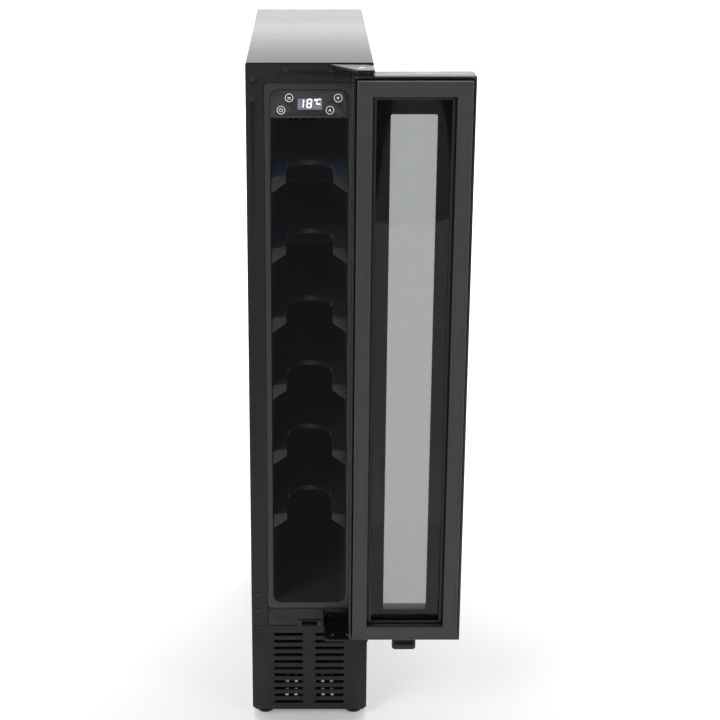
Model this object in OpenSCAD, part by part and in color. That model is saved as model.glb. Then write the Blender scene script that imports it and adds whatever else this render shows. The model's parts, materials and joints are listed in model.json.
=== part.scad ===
// Slim built-in wine cooler, 150 mm class, drawn with its glass door swung fully open.
// X runs across the front to the right, Y from the front towards the wall, Z up from the floor.
// The origin is on the floor, under the middle of the cabinet's front face.

/* [Cabinet] */
// Width of the cabinet
case_w = 148; // [147:0.5:150]
// Depth of the cabinet, from its front face to its back panel
case_d = 475; // [470:5:500]
// Height of the cabinet's top face above the floor
case_top = 850; // [849:0.5:851]
// Thickness of the outer steel sheet
sheet_t = 0.8; // [0.6:0.1:1]
// Width of the folded front stiles
stile_w = 21; // [20.5:0.1:21.5]
// Height of the folded front bar above the opening
head_h = 23; // [22:0.5:24]

/* [Cold compartment] */
// Clear width between the liner's side walls
inner_w = 92; // [90:0.5:92]
// Clear depth of the liner
inner_d = 427; // [420:1:430]
// Thickness of the vacuum-formed liner
liner_t = 1.5; // [1:0.1:2]
// Distance from one shelf to the next
shelf_pitch = 86.2; // [86:0.1:87]
// Height of the lowest shelf's arm tops above the floor
shelf_first = 286.5; // [286:0.5:287.5]
// Depth of a shelf
shelf_d = 345; // [330:5:350]

/* [Door] */
// Width of the door
door_w = 138.6; // [138:0.1:139]
// Height of the door
door_h = 707; // [706:0.5:708]
// Thickness of the door without its gasket
door_t = 37; // [36.5:0.5:37]
// Height of the door's lower edge above the floor
door_z = 135; // [135:0.1:135.5]
// Angle at which the door stands, 0 when shut and 180 when fully open
door_angle = 180; // [0:5:180]

/* [Grille] */
// Number of slot rows in the front grille
slot_rows = 11; // [5:1:11]
// Distance from one slot row to the next
slot_pitch = 9.8; // [9:0.1:9.8]
// Height of one slot
slot_h = 4; // [3:0.2:4.6]

/* [Hidden] */
$fn = 48;
shelves = 6;
fit = 0.05;                 // radial running clearance of pins and stems
seam = 0.3;                 // gap between bodies that pass each other

// Heights of the cabinet's front, from the floor up
case_z = 8;
grille_top = 130.2;
rail_top = 154.8;
flange_top = case_top - head_h - 0.7;
opening_z0 = 163.3;
opening_z1 = case_top - 30.8;
deck_z = 147;
half_w = case_w / 2;
half_in = inner_w / 2;
flange_half = half_w - stile_w - 0.5;

// Door, drawn shut and then swung about its pin
door_half = door_w / 2;
door_front = -47;
door_back = door_front + door_t;
door_mid = door_z + door_h / 2;
pin_x = door_half - 10;
pin_y = -28.5;
pin_r = 4;
bush_r = 7;
rail_d = 26.5;              // width of the frame rails, seen from the front
mask_t = 0.3;
pane_t = 4;
outer_pane_y = door_front;
inner_pane_y = -17;
gasket_face = -1.3;

// Machine compartment
coil_r = 2.5;
coil_rows = 7;
coil_layers = 2;
coil_pitch = 14;
coil_half = 46;
fan_y = 84;
fan_z = 72;
inner_fan_y = 379.5;
inner_fan_z = 700;
compressor_y = 300;

// Lines that pass from the machine compartment into the cold side
drain_y = 416;
port_x = 30;
port_y = 440;
port_z = deck_z + 60;
riser_y = 412;

// Feet
foot_x = half_w - 16.5;
foot_y_front = 16;
foot_y_rear = case_d - 18;

case_colour = [0.10, 0.10, 0.11];
trim_colour = [0.16, 0.16, 0.17];
seal_colour = [0.14, 0.14, 0.15];
steel_colour = [0.62, 0.63, 0.65];

// ---------------------------------------------------------------- helpers

// Rectangle with true round corners, from corner a to corner b
module round_rect(a, b, r) {
    w = b[0] - a[0];
    h = b[1] - a[1];
    translate([a[0] + r, a[1]]) square([w - 2 * r, h]);
    translate([a[0], a[1] + r]) square([w, h - 2 * r]);
    for (x = [a[0] + r, b[0] - r], y = [a[1] + r, b[1] - r]) translate([x, y]) circle(r);
}

// Stands a flat front-view shape up, from y0 back to y1
module upright(y0, y1) {
    translate([0, y1, 0]) rotate([90, 0, 0]) linear_extrude(y1 - y0) children();
}

// Cuboid given by two opposite corners
module block(a, b) {
    translate(a) cube(b - a);
}

// Runs a flat side-view shape (Y, Z) along X, from x0 to x1
module along_x(x0, x1) {
    translate([x0, 0, 0]) rotate([90, 0, 90]) linear_extrude(x1 - x0) children();
}

// Cylinder along Y, from y0 to y1
module rod_y(x, z, r, y0, y1) {
    translate([x, y1, z]) rotate([90, 0, 0]) cylinder(r = r, h = y1 - y0);
}

// Round tube run through a list of points
module pipe(points, r) {
    for (i = [0 : len(points) - 2]) {
        v = points[i + 1] - points[i];
        length = norm(v);
        turn = atan2(v[1], v[0]);
        tilt = acos(v[2] / length);
        translate(points[i]) rotate([0, tilt, turn]) cylinder(r = r, h = length);
        if (i > 0) translate(points[i]) sphere(r);
    }
}

// Puts a part drawn on the shut door where the door stands
module hung() {
    translate([pin_x, pin_y, 0]) rotate(door_angle) translate([-pin_x, -pin_y, 0]) children();
}

// Front-view shape of one mitred side of a w by h frame, its bottom one, centred on the origin
module mitre_side(w, h, depth, gap) {
    polygon([
        [-w / 2 + gap, -h / 2], [w / 2 - gap, -h / 2],
        [w / 2 - depth - gap, -h / 2 + depth], [-w / 2 + depth + gap, -h / 2 + depth]
    ]);
}

// Straight bar along X whose section (distance from the edge, Y) is the 2D child
module edge_bar(w, h) {
    translate([w / 2, 0, -h / 2]) rotate([0, -90, 0]) linear_extrude(w) children();
}

// Four mitred bars round a w by h frame, standing at the door's middle
module mitred_frame(w, h, depth, gap = 0) {
    translate([0, 0, door_mid]) for (side = [0 : 3]) {
        along = side % 2 == 0 ? w : h;
        across = side % 2 == 0 ? h : w;
        rotate([0, 90 * side, 0]) intersection() {
            edge_bar(along, across) children();
            upright(door_front - 1, 1) mitre_side(along, across, depth, gap);
        }
    }
}

// Pane or plate of the door, inset from the door's edge
module door_plate(inset, y0, y1) {
    block([-door_half + inset, y0, door_z + inset],
          [door_half - inset, y1, door_z + door_h - inset]);
}

// Sheet with rows of round-ended slots, in front view
module slotted(a, b, columns, rows, pitch, top, height) {
    difference() {
        polygon([
            [a[0] + 5, a[1]], [b[0] - 5, a[1]], [b[0], a[1] + 5], [b[0], b[1]],
            [a[0], b[1]], [a[0], a[1] + 5]
        ]);
        for (row = [0 : rows - 1], c = columns) {
            z = top - row * pitch;
            translate([c[0] + height / 2, z - height / 2]) square([c[1] - c[0] - height, height]);
            for (x = [c[0] + height / 2, c[1] - height / 2]) translate([x, z]) circle(height / 2);
        }
    }
}

// ---------------------------------------------------------------- cabinet

// One bent sheet for both sides and the top, with its folded front returns
module outer_case() color(case_colour) difference() {
    union() {
        upright(0, case_d - 1) difference() {
            round_rect([-half_w, case_z], [half_w, case_top], 2.5);
            round_rect([-half_w + sheet_t, case_z - 20],
                       [half_w - sheet_t, case_top - sheet_t], 1.7);
        }
        upright(0, sheet_t) difference() {
            round_rect([-half_w, grille_top + 0.2], [half_w, case_top], 2.5);
            translate([-flange_half - 0.5, 0]) square([2 * flange_half + 1, case_top - head_h]);
        }
    }
    // room for the grille's ends, for the hinge legs and for the screws and plugs
    block([-half_w - 1, -1, 0], [half_w + 1, 3.3, grille_top + 0.2]);
    block([pin_x - 1.5, -1, 799.6], [half_w - 2, sheet_t + 1, 840.8]);
    block([pin_x - 1.5, -1, 120], [half_w - 2, sheet_t + 1, 184.4]);
    block([flange_half - 1, -1, 120], [half_w - 2, sheet_t + 1, 152.3]);
    for (p = plug_holes) rod_y(p[0], p[1], 2.5, -1, 4);
    for (x = top_screws_x) rod_y(x, top_screw_z, screw_hole_r, -1, 4);
}

plug_holes = [[-27.6, 842], [-66, 831], [-66, 809], [-65, 174.5], [-65, 152]];
rail_plug = [-26.3, 141];

// Hinge screws: three under the top flap, two in its leg and three in the lower bracket
screw_hole_r = 2.1;
top_screws_x = [26.9, 46, 66];
top_screw_z = 841.9;
leg_screw_x = 66;
leg_screws_z = [809, 831];
pocket_y = 8;
bottom_screws = [[26.6, pocket_y, 140], [65, 0.1, 150], [65, 0.1, 174.5]];

module back_panel() color("silver")
    upright(case_d - 0.9, case_d)
        round_rect([-half_w + 1, deck_z], [half_w - 1, case_top - 1], 2);

module base_plate() color(steel_colour) difference() {
    union() {
        block([-half_w + 1, 3.6, case_z], [half_w - 1, case_d - 1.2, case_z + 1.2]);
        for (s = [-1, 1])
            block([s > 0 ? half_w - 2.2 : -half_w + 1, 3.6, case_z],
                  [s > 0 ? half_w - 1 : -half_w + 2.2, case_d - 1.2, case_z + 12]);
    }
    for (x = [-foot_x, foot_x], y = [foot_y_front, foot_y_rear])
        translate([x, y, case_z - 1]) cylinder(r = 8, h = 4);
    // air slots under the condenser
    for (x = [-30 : 12 : 30]) block([x - 2, 30, case_z - 1], [x + 2, 90, case_z + 3]);
}

module deck_plate() color(steel_colour)
    difference() {
        block([-half_w + 1, 13, deck_z], [half_w - 1, case_d - 1.2, deck_z + 1]);
        translate([0, drain_y, deck_z - 1]) cylinder(r = 6.2, h = 3);
        for (x = [-port_x, port_x]) translate([x, port_y, deck_z - 1]) cylinder(r = 4.2, h = 3);
    }

module insulation() color([0.93, 0.85, 0.62]) difference() {
    upright(13, case_d - 1)
        round_rect([-half_w + sheet_t + 0.1, deck_z + 1.1],
                   [half_w - sheet_t - 0.1, case_top - sheet_t - 0.1], 2);
    block([-half_in - liner_t - 0.1, 0, opening_z0 - liner_t - 0.1],
          [half_in + liner_t + 0.1, inner_d + liner_t + 0.1, opening_z1 + liner_t + 0.1]);
    translate([0, drain_y, deck_z]) cylinder(r = 6.2, h = 20);
    for (x = [-port_x, port_x]) {
        translate([x, port_y, deck_z]) cylinder(r = 4.2, h = port_z - deck_z);
        rod_y(x, port_z, 4.2, riser_y - 2, port_y);
        translate([x, port_y, port_z]) sphere(4.2);
    }
}

// Ribs that carry one shelf, each with a stop block at its rear end
module shelf_ribs(z) {
    for (s = [-1, 1]) {
        x0 = s > 0 ? half_in - rib_w : -half_in - 0.5;
        x1 = s > 0 ? half_in + 0.5 : -half_in + rib_w;
        block([x0, rib_y, z - rib_drop], [x1, arm_end + 5, z - rib_drop + rib_h]);
        block([x0, arm_end + 1 - seam, z - 19], [x1, arm_end + 5, z - 4]);
    }
}

// Vacuum-formed box of the cold compartment with its front flange and shelf ribs
module liner() color(trim_colour) difference() {
    union() {
        upright(1, inner_d) difference() {
            round_rect([-half_in - liner_t, opening_z0 - liner_t],
                       [half_in + liner_t, opening_z1 + liner_t], 11);
            round_rect([-half_in, opening_z0], [half_in, opening_z1], 10);
        }
        upright(inner_d, inner_d + liner_t)
            round_rect([-half_in - liner_t, opening_z0 - liner_t],
                       [half_in + liner_t, opening_z1 + liner_t], 11);
        upright(0, 1.4) difference() {
            round_rect([-flange_half, rail_top + 0.8], [flange_half, flange_top], 3);
            round_rect([-half_in, opening_z0], [half_in, opening_z1], 10);
        }
        for (i = [0 : shelves - 1]) shelf_ribs(shelf_first + i * shelf_pitch);
    }
    translate([0, drain_y, opening_z0 - 5]) cylinder(r = 4, h = 10);
    for (x = [-port_x, port_x]) rod_y(x, port_z, 4.2, inner_d - 1, inner_d + 5);
}

// Folded rail under the opening, with the pocket that the lower hinge sits in
module cross_rail() color(trim_colour) difference() {
    union() {
        block([-flange_half, 0, grille_top + 0.9], [flange_half, 1.4, rail_top]);
        block([-flange_half, 0, rail_top - 1.2], [flange_half, 12.5, rail_top]);
        block([-flange_half, 0, grille_top + 0.9], [flange_half, 12.5, grille_top + 2.1]);
    }
    block([18.2, -1, grille_top - 2], [half_w, 2, 152.3]);
    block([18.2, -1, grille_top - 2], [half_w, 14, grille_top + 3]);
    rod_y(rail_plug[0], rail_plug[1], 2.5, -1, 4);
    block([-10, -1, 131.8], [10, 4, 137.2]);
}

module front_grille() color(case_colour) union() {
    upright(0, 3) slotted([-half_w, case_z], [half_w, grille_top],
                          [[-45.6, -8.2], [7.1, 44.6]], slot_rows, slot_pitch,
                          117.4, slot_h);
    // ribs behind the sheet and the snap tongue at its top edge
    for (x = [-60, 0, 60]) block([x - 1, 2.9, case_z + 6], [x + 1, 8, grille_top - 4]);
    difference() {
        along_x(-9.4, 9.4) polygon([[0.1, 123], [-2.2, 129], [-2.2, 130.4], [0.1, 130.4]]);
        for (s = [-1, 1]) translate([s * 9.4, -3, 129]) rotate([0, s * 20, 0])
            translate([s * 3 - 3, 0, -9]) cube([6, 4, 9]);
    }
    block([-9.4, -1.5, 129], [9.4, -0.5, 131.6]);
}

// Raised frame on the cross rail that the grille's tongue snaps into
module grille_keeper() color(trim_colour) difference() {
    block([-14.8, -2, 130.6], [15.2, -0.02, 138.4]);
    block([-10.2, -3, 129], [10.2, 1, 137.2]);
}

module hole_plugs() color([0.08, 0.08, 0.09])
    for (p = concat(plug_holes, [rail_plug])) {
        rod_y(p[0], p[1], 2.4, -0.1, 4);
        translate([p[0], 0, p[1]]) rotate([90, 0, 0])
            rotate_extrude() polygon([[0, 0], [3.3, 0], [3, 0.45], [2.2, 0.75], [0, 0.85]]);
    }

// ---------------------------------------------------------------- hinges

module hinge_bracket_top() color([0.2, 0.2, 0.21]) difference() {
    union() {
        block([21.3, -1.6, 838.8], [half_w - 0.6, -0.02, case_top - 1.6]);
        translate([0, 0, case_top - 4.2]) linear_extrude(2.6)
            polygon([[23.4, -0.02], [23.4, -1.6], [54, -45], [half_w - 0.6, -45],
                     [half_w - 0.6, -0.02]]);
        block([pin_x - 1.2, 0.1, 800], [half_w - 2.3, 1.7, 838.4]);
        block([pin_x - 1.2, -1.6, 838.2], [half_w - 2.3, 1.7, 840.5]);
    }
    translate([pin_x, pin_y, 830]) cylinder(r = pin_r, h = 30);
    for (x = top_screws_x) rod_y(x, top_screw_z, screw_hole_r, -3, 4);
    for (z = leg_screws_z) rod_y(leg_screw_x, z, screw_hole_r, -1, 4);
}

// Ledge that carries the door, its upright plate in the rail's pocket and its leg on the stile
module hinge_bracket_bottom() color([0.05, 0.05, 0.06]) difference() {
    union() {
        block([18.5, pocket_y, 132.8], [pin_x, pocket_y + 1.6, 152]);
        block([pin_x - 1.2, 0.1, 131.2], [half_w - 2.3, 1.7, 184]);
        translate([0, 0, ledge_z - 2.2]) linear_extrude(2.2) {
            ledge_outline(0);
            translate([18.5, -0.2]) square([pin_x - 18.5, pocket_y + 1.8]);
            translate([pin_x - 1, -0.2]) square([half_w - 1.3 - pin_x, 1.9]);
        }
        // lip turned down along the ledge's front edge
        translate([0, 0, ledge_z - 3.4]) linear_extrude(2) difference() {
            ledge_outline(0);
            ledge_outline(1.4);
            translate([17, -30]) square([60, 40]);
        }
    }
    translate([pin_x, pin_y, 120]) cylinder(r = pin_r, h = 30);
    for (x = rivets_x) translate([x, rivet_y, 120]) cylinder(r = 1.8, h = 30);
    for (p = bottom_screws) rod_y(p[0], p[2], screw_hole_r, -1, 14);
}

ledge_z = 133.4;
rivets_x = [29.6, 48.3];
rivet_y = -30.5;

// Plan of the lower bracket's ledge, round at its free front corner
module ledge_outline(inset) {
    a = [18.5 + inset, -43 + inset];
    b = [half_w - 0.6 - inset, -0.05];
    r = 7 - inset;
    translate([a[0], a[1] + r]) square([b[0] - a[0], b[1] - a[1] - r]);
    translate([a[0] + r, a[1]]) square([b[0] - a[0] - r, r + 1]);
    translate([a[0] + r, a[1] + r]) circle(r);
}

// Hinge pins with their washers, and the two rivets of the lower ledge
module hinge_pins() color("silver") {
    translate([pin_x, pin_y, 830]) cylinder(r = pin_r, h = case_top - 831.2);
    translate([pin_x, pin_y, case_top - 5.8]) difference() {
        cylinder(r = 7.5, h = 1.6);
        translate([0, 0, -1]) cylinder(r = pin_r, h = 4);
    }
    translate([pin_x, pin_y, 130]) cylinder(r = pin_r, h = 17);
    translate([pin_x, pin_y, ledge_z]) difference() {
        cylinder(r = 7.5, h = 1.1);
        translate([0, 0, -1]) cylinder(r = pin_r, h = 4);
    }
    for (x = rivets_x) translate([x, rivet_y, 0]) rotate_extrude() polygon([
        [0, ledge_z - 2.5], [1.75, ledge_z - 2.5], [1.75, ledge_z + 0.02], [2, ledge_z + 0.02],
        [1.7, ledge_z + 0.6], [0.9, ledge_z + 0.95], [0, ledge_z + 1.05]
    ]);
}

// Cross-headed screw with a low round head, driven from the front at y
module pan_screw(x, y, z, head_r = 3.6, head_t = 1.5) {
    difference() {
        union() {
            rod_y(x, z, 2, y, y + 9);
            translate([x, y, z]) rotate([90, 0, 0]) rotate_extrude()
                polygon([[0, 0], [head_r, 0], [head_r, head_t * 0.4], [head_r * 0.75, head_t * 0.85],
                         [0, head_t]]);
        }
        for (a = [0, 90]) translate([x, y - head_t, z]) rotate([0, a + 45, 0])
            cube([head_r * 1.1, head_t, 0.8], center = true);
    }
}

module hinge_screws() color([0.12, 0.12, 0.13]) {
    for (x = top_screws_x) pan_screw(x, -1.6, top_screw_z);
    for (z = leg_screws_z) pan_screw(leg_screw_x, 0.1, z, 3.4, 0.7);
    for (p = bottom_screws) pan_screw(p[0], p[1], p[2], 3.4, 0.7);
}

// ---------------------------------------------------------------- cold side

module evaporator_cover() color([0.09, 0.09, 0.10]) difference() {
    block([-half_in + 0.4, cover_y, opening_z0 + 0.4],
          [half_in - 0.4, cover_y + 2.5, opening_z1 - 0.4]);
    // round guard slots in front of the fan, and the air return low down
    for (r = [8, 15, 22, 29]) ring_slot(r, 3, cover_y - 6, cover_y + 6);
    for (z = [205 : 12 : 265]) block([-30, cover_y - 6, z], [30, cover_y + 6, z + 5]);
    for (x = [-half_in, half_in], z = [opening_z0, opening_z1])
        translate([x, cover_y + 4, z]) rotate([90, 45, 0]) cylinder(r = 11, h = 10, $fn = 4);
}

cover_y = 376;
sensor_z = 450;

// Ring slot of mean radius r in the evaporator cover, broken by four spokes
module ring_slot(r, width, y0, y1) {
    difference() {
        rod_y(0, inner_fan_z, r + width / 2, y0, y1);
        rod_y(0, inner_fan_z, r - width / 2, y0 - 1, y1 + 1);
        for (a = [0, 90]) translate([0, (y0 + y1) / 2, inner_fan_z]) rotate([0, a + 45, 0])
            cube([90, y1 - y0 + 4, 4], center = true);
    }
}

// Plate-fin evaporator with its tube stubs
module evaporator() color("silver") {
    for (i = [0 : 9]) block([-36 + i * 8 - 0.6, 400, 290], [-36 + i * 8 + 0.6, 420, 560]);
    for (z = [305 : 40 : 545]) rod_x(-42, 42, 410, z, 3);
}

// Cylinder along X, from x0 to x1
module rod_x(x0, x1, y, z, r) {
    translate([x0, y, z]) rotate([0, 90, 0]) cylinder(r = r, h = x1 - x0);
}

// Square frame of an axial fan whose hub stands on four struts
module fan_frame(size, depth, y, z) {
    upright(y, y + depth) difference() {
        round_rect([-size / 2, z - size / 2], [size / 2, z + size / 2], 4);
        translate([0, z]) circle(size / 2 - 2.5);
        for (x = [-1, 1], k = [-1, 1])
            translate([x * (size / 2 - 5.5), z + k * (size / 2 - 5.5)]) circle(2.1);
    }
    rod_y(0, z, 13, y + depth - 2.5, y + depth);
    for (a = [0, 90]) translate([0, y + depth - 1.3, z]) rotate([0, a + 45, 0])
        cube([size - 2, 2.5, 4], center = true);
    rod_y(0, z, fan_pin_r, y + 2.5, y + depth - 2);
}

fan_pin_r = 1.6;

// Impeller with a cup hub and swept blades
module fan_rotor(size, depth, y, z, blades) {
    reach = size / 2 - 3.6;
    difference() {
        union() {
            rod_y(0, z, 12.5, y + 1.2, y + depth - 3.2);
            intersection() {
                rod_y(0, z, reach, y + 0.8, y + depth - 3.2);
                for (i = [0 : blades - 1]) translate([0, y + (depth - 2.4) / 2, z])
                    rotate([0, 360 * i / blades, 0]) translate([reach / 2, 0, 0])
                        rotate([38, 0, 0]) cube([reach + 2, 1.6, reach * 0.72], center = true);
            }
        }
        rod_y(0, z, fan_pin_r + fit, y + 2, y + depth);
    }
}

module circulation_fan_frame() color([0.08, 0.08, 0.08])
    fan_frame(80, 15, inner_fan_y, inner_fan_z);

module circulation_fan_rotor() color([0.16, 0.16, 0.16])
    fan_rotor(80, 15, inner_fan_y, inner_fan_z, 7);

module temperature_sensor() color("white")
    difference() {
        translate([half_in - 5, cover_y - 10, sensor_z]) cylinder(r = 3, h = 26);
        block([half_in - 1.9, cover_y - 20, sensor_z - 10], [half_in + 4, cover_y, sensor_z + 30]);
    }

// ---------------------------------------------------------------- controls

panel_z0 = opening_z1 - 33.2;
window_a = [-14.4, 795];
window_b = [15, 808.6];
pads = [[-23.6, 809.2], [-33, 795], [32.9, 809], [23.6, 794.9]];

// Outline of the control panel, round at its top corners only
module panel_outline(inset) {
    round_rect([-half_in + 0.3 + inset, panel_z0 + inset],
               [half_in - 0.3 - inset, opening_z1 - 0.3 - inset], 9.6);
    translate([-half_in + 0.3 + inset, panel_z0 + inset])
        square([inner_w - 0.6 - 2 * inset, 12]);
}

module control_panel() color([0.22, 0.22, 0.23])
    upright(1.6, 4.2) difference() {
        panel_outline(0);
        round_rect(window_a, window_b, 1.5);
        for (p = pads) translate(p) circle(5.6);
    }

// Tray behind the panel that carries the board and the lamp
module control_housing() color([0.07, 0.07, 0.07]) difference() {
    upright(4.3, 58) panel_outline(0.2);
    block([-half_in + 3, 4, panel_z0 + 3], [half_in - 3, 56, opening_z1 - 11]);
    block([-36, 20, panel_z0 - 1], [36, 32, panel_z0 + 4]);
}

module display_window() color([0.25, 0.26, 0.3])
    upright(2, 4) round_rect(window_a + [0.1, 0.1], window_b - [0.1, 0.1], 1.4);

module display_board() color([0.05, 0.25, 0.12]) {
    block([-38, 8, panel_z0 + 5], [38, 9.6, opening_z1 - 12]);
    block([-12, 4.6, 796.5], [12.6, 8, 806.5]);
    for (x = [-30, 26]) block([x, 9.6, 793], [x + 8, 14, 799]);
}

module touch_pads() color("white")
    for (p = pads) rod_y(p[0], p[1], 5.5, 1.8, 4.1);

module led_strip() color([0.75, 0.85, 1])
    block([-35.8, 20.2, panel_z0 + 0.4], [35.8, 31.8, panel_z0 + 2.8]);

// ---------------------------------------------------------------- shelves

arm_in = 28;
arm_out = half_in - 0.5;
arm_y = 3;
arm_end = arm_y + shelf_d;
notch_y = 67;
rib_y = 14;
rib_w = 3;
rib_h = 4;
rib_drop = 13;

// Right-hand arm: its top falls a little and its underside deepens towards the wall
module shelf_arm(z) difference() {
    upright(arm_y, arm_end) polygon([
        [arm_in + 1, z], [arm_out - 1, z - 2.6], [arm_out, z - 3.6], [arm_out, z - 20],
        [arm_out - 1, z - 21], [arm_in + 1.5, z - 10], [arm_in, z - 8.8], [arm_in, z - 1]
    ]);
    // blind groove that runs on the liner's rib
    block([arm_out - rib_w - seam, rib_y - 2 * seam, z - rib_drop - seam],
          [arm_out + 1, arm_end + 1, z - rib_drop + rib_h + seam]);
}

// Pull-out shelf: two arms joined by a plate behind a round-ended notch
module shelf(z) color([0.11, 0.11, 0.12]) {
    shelf_arm(z);
    mirror([1, 0, 0]) shelf_arm(z);
    translate([0, 0, z - 4]) linear_extrude(3.4) difference() {
        translate([-arm_in - 0.5, notch_y - 7]) square([2 * arm_in + 1, arm_end - notch_y + 7]);
        translate([0, notch_y]) circle(arm_in - 0.5);
        translate([-arm_in + 0.5, 0]) square([2 * arm_in - 1, notch_y]);
    }
    // raised rim round the notch and stop rib at the back
    translate([0, 0, z - 7]) linear_extrude(6.6) intersection() {
        difference() {
            translate([0, notch_y]) circle(arm_in + 0.5);
            translate([0, notch_y]) circle(arm_in - 2);
        }
        translate([-arm_in - 0.5, notch_y]) square([2 * arm_in + 1, 60]);
    }
    block([-arm_in - 0.5, arm_end - 7, z - 8], [arm_in + 0.5, arm_end, z - 0.4]);
}

module shelf_1() shelf(shelf_first);
module shelf_2() shelf(shelf_first + shelf_pitch);
module shelf_3() shelf(shelf_first + 2 * shelf_pitch);
module shelf_4() shelf(shelf_first + 3 * shelf_pitch);
module shelf_5() shelf(shelf_first + 4 * shelf_pitch);
module shelf_6() shelf(shelf_first + 5 * shelf_pitch);

// ---------------------------------------------------------------- machine compartment

coil_z0 = 26;
coil_y0 = 28;
coil_step = 26;

// Serpentine condenser in layers, with the wires that spread its heat
module condenser_coil() color([0.1, 0.1, 0.1]) {
    for (layer = [0 : coil_layers - 1]) {
        y = coil_y0 + layer * coil_step;
        for (row = [0 : coil_rows - 1]) rod_x(-coil_half, coil_half, y, coil_z0 + row * coil_pitch, coil_r);
        for (row = [0 : coil_rows - 2]) {
            right = row % 2 == 0;
            translate([right ? coil_half : -coil_half, y, coil_z0 + (row + 0.5) * coil_pitch])
                rotate([90, 0, 0]) rotate([0, 0, right ? -90 : 90])
                    rotate_extrude(angle = 180) translate([coil_pitch / 2, 0]) circle(coil_r);
        }
        for (x = [-40 : 10 : 40], side = [-1, 1])
            translate([x, y + side * (coil_r + 0.75), coil_z0 - 4])
                cylinder(r = 0.7, h = (coil_rows - 1) * coil_pitch + 8);
    }
}

module condenser_fan_frame() color([0.08, 0.08, 0.08])
    fan_frame(104, 25, fan_y, fan_z);

module condenser_fan_rotor() color([0.14, 0.14, 0.14])
    fan_rotor(104, 25, fan_y, fan_z, 7);

// Two-part welded compressor shell with its base straps
module compressor() color([0.06, 0.06, 0.06]) {
    translate([0, compressor_y, 22]) rotate_extrude() polygon(concat(
        [[0, 0], [34, 0]],
        [for (a = [-90 : 10 : 0]) [34 + 14 * cos(a), 14 + 14 * sin(a)]],
        [[48, 44], [51, 44], [51, 49], [48, 49], [48, 66]],
        [for (a = [0 : 10 : 90]) [28 + 20 * cos(a), 66 + 20 * sin(a)]],
        [[0, 88]]
    ));
    for (s = [-1, 1]) difference() {
        block([-58, compressor_y + s * 36 - 11, 18], [58, compressor_y + s * 36 + 11, 22.3]);
        for (x = [-48, 48]) translate([x, compressor_y + s * 36, 10]) cylinder(r = 6, h = 20);
    }
}

module compressor_mounts() color([0.05, 0.05, 0.05])
    for (x = [-48, 48], y = [compressor_y - 36, compressor_y + 36])
        translate([x, y, case_z + 1.3]) difference() {
            union() {
                cylinder(r = 9, h = 8.6);
                cylinder(r = 5.9, h = 14);
            }
            translate([0, 0, -1]) cylinder(r = 3.2, h = 20);
        }

module terminal_box() color([0.12, 0.12, 0.12]) {
    translate([51.5, compressor_y - 13, 44]) cube([18, 26, 34]);
}

pipe_z = 78;
drier_y = 300;

// Discharge line, condenser link, liquid line with filter drier, capillary and suction line
module refrigerant_pipes() color([0.72, 0.45, 0.28]) {
    coil_y1 = coil_y0 + coil_step;
    coil_top = coil_z0 + (coil_rows - 1) * coil_pitch;
    end = coil_half + 0.2;
    pipe([[-40, compressor_y - 30, pipe_z], [-62, compressor_y - 30, pipe_z], [-62, 130, pipe_z],
          [-62, 130, coil_z0], [-62, coil_y1, coil_z0], [-end, coil_y1, coil_z0]], 2.4);
    pipe([[end, coil_y0, coil_top], [52, coil_y0, coil_top], [52, coil_y1, coil_top],
          [end, coil_y1, coil_top]], 2.4);
    pipe([[-end, coil_y0, coil_z0], [-67, coil_y0, coil_z0], [-67, 240, coil_z0], [-67, 240, 100],
          [-62, drier_y + 0.5, 100]], 2.4);
    translate([-62, drier_y + 72, 100]) rotate([90, 0, 0]) rotate_extrude() polygon([
        [0, 0], [3, 0], [9, 10], [9, 62], [3, 72], [0, 72]
    ]);
    pipe([[-62, drier_y + 71, 100], [-62, port_y, 100], [-port_x, port_y, 100],
          [-port_x, port_y, port_z], [-port_x, riser_y, port_z], [-40, riser_y, port_z],
          [-40, riser_y, 301.9]], 1.6);
    pipe([[30, compressor_y + 38, pipe_z], [60, compressor_y + 38, pipe_z],
          [60, port_y, pipe_z], [port_x, port_y, pipe_z], [port_x, port_y, port_z],
          [port_x, riser_y, port_z], [40, riser_y, port_z], [40, riser_y, 301.9]], 2.8);
}

module drain_tube() color("white") difference() {
    translate([0, drain_y, 40]) cylinder(r = 6, h = opening_z0 - liner_t - 40.2);
    translate([0, drain_y, 39]) cylinder(r = 4, h = opening_z0);
}

module drip_tray() color([0.1, 0.1, 0.1]) difference() {
    block([-44, 392, case_z + 1.4], [44, 462, 34]);
    block([-42, 394, case_z + 3.4], [42, 460, 40]);
}

module power_box() color([0.15, 0.15, 0.16]) difference() {
    block([-64, 150, case_z + 1.3], [10, 210, 62]);
    block([-62, 152, case_z + 3.3], [8, 208, 60]);
    for (z = [24 : 8 : 48]) block([-60, 205, z], [6, 215, z + 3]);
}

inlet_x = 44;
inlet_z = 112;

// Appliance inlet in the rear grille: a socket with three blades
module mains_inlet() color([0.06, 0.06, 0.06]) {
    difference() {
        union() {
            block([inlet_x - 14, case_d - 22, inlet_z - 10], [inlet_x + 14, case_d - 1, inlet_z + 10]);
            block([inlet_x - 17, case_d + 0.1, inlet_z - 13], [inlet_x + 17, case_d + 2, inlet_z + 13]);
            block([inlet_x - 14, case_d - 2, inlet_z - 10], [inlet_x + 14, case_d + 1, inlet_z + 10]);
        }
        block([inlet_x - 12, case_d - 17, inlet_z - 8], [inlet_x + 12, case_d + 3, inlet_z + 8]);
    }
    for (p = [[-7, -2], [0, 3], [7, -2]])
        block([inlet_x + p[0] - 1, case_d - 19, inlet_z + p[1] - 2],
              [inlet_x + p[0] + 1, case_d - 3, inlet_z + p[1] + 2]);
}

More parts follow.
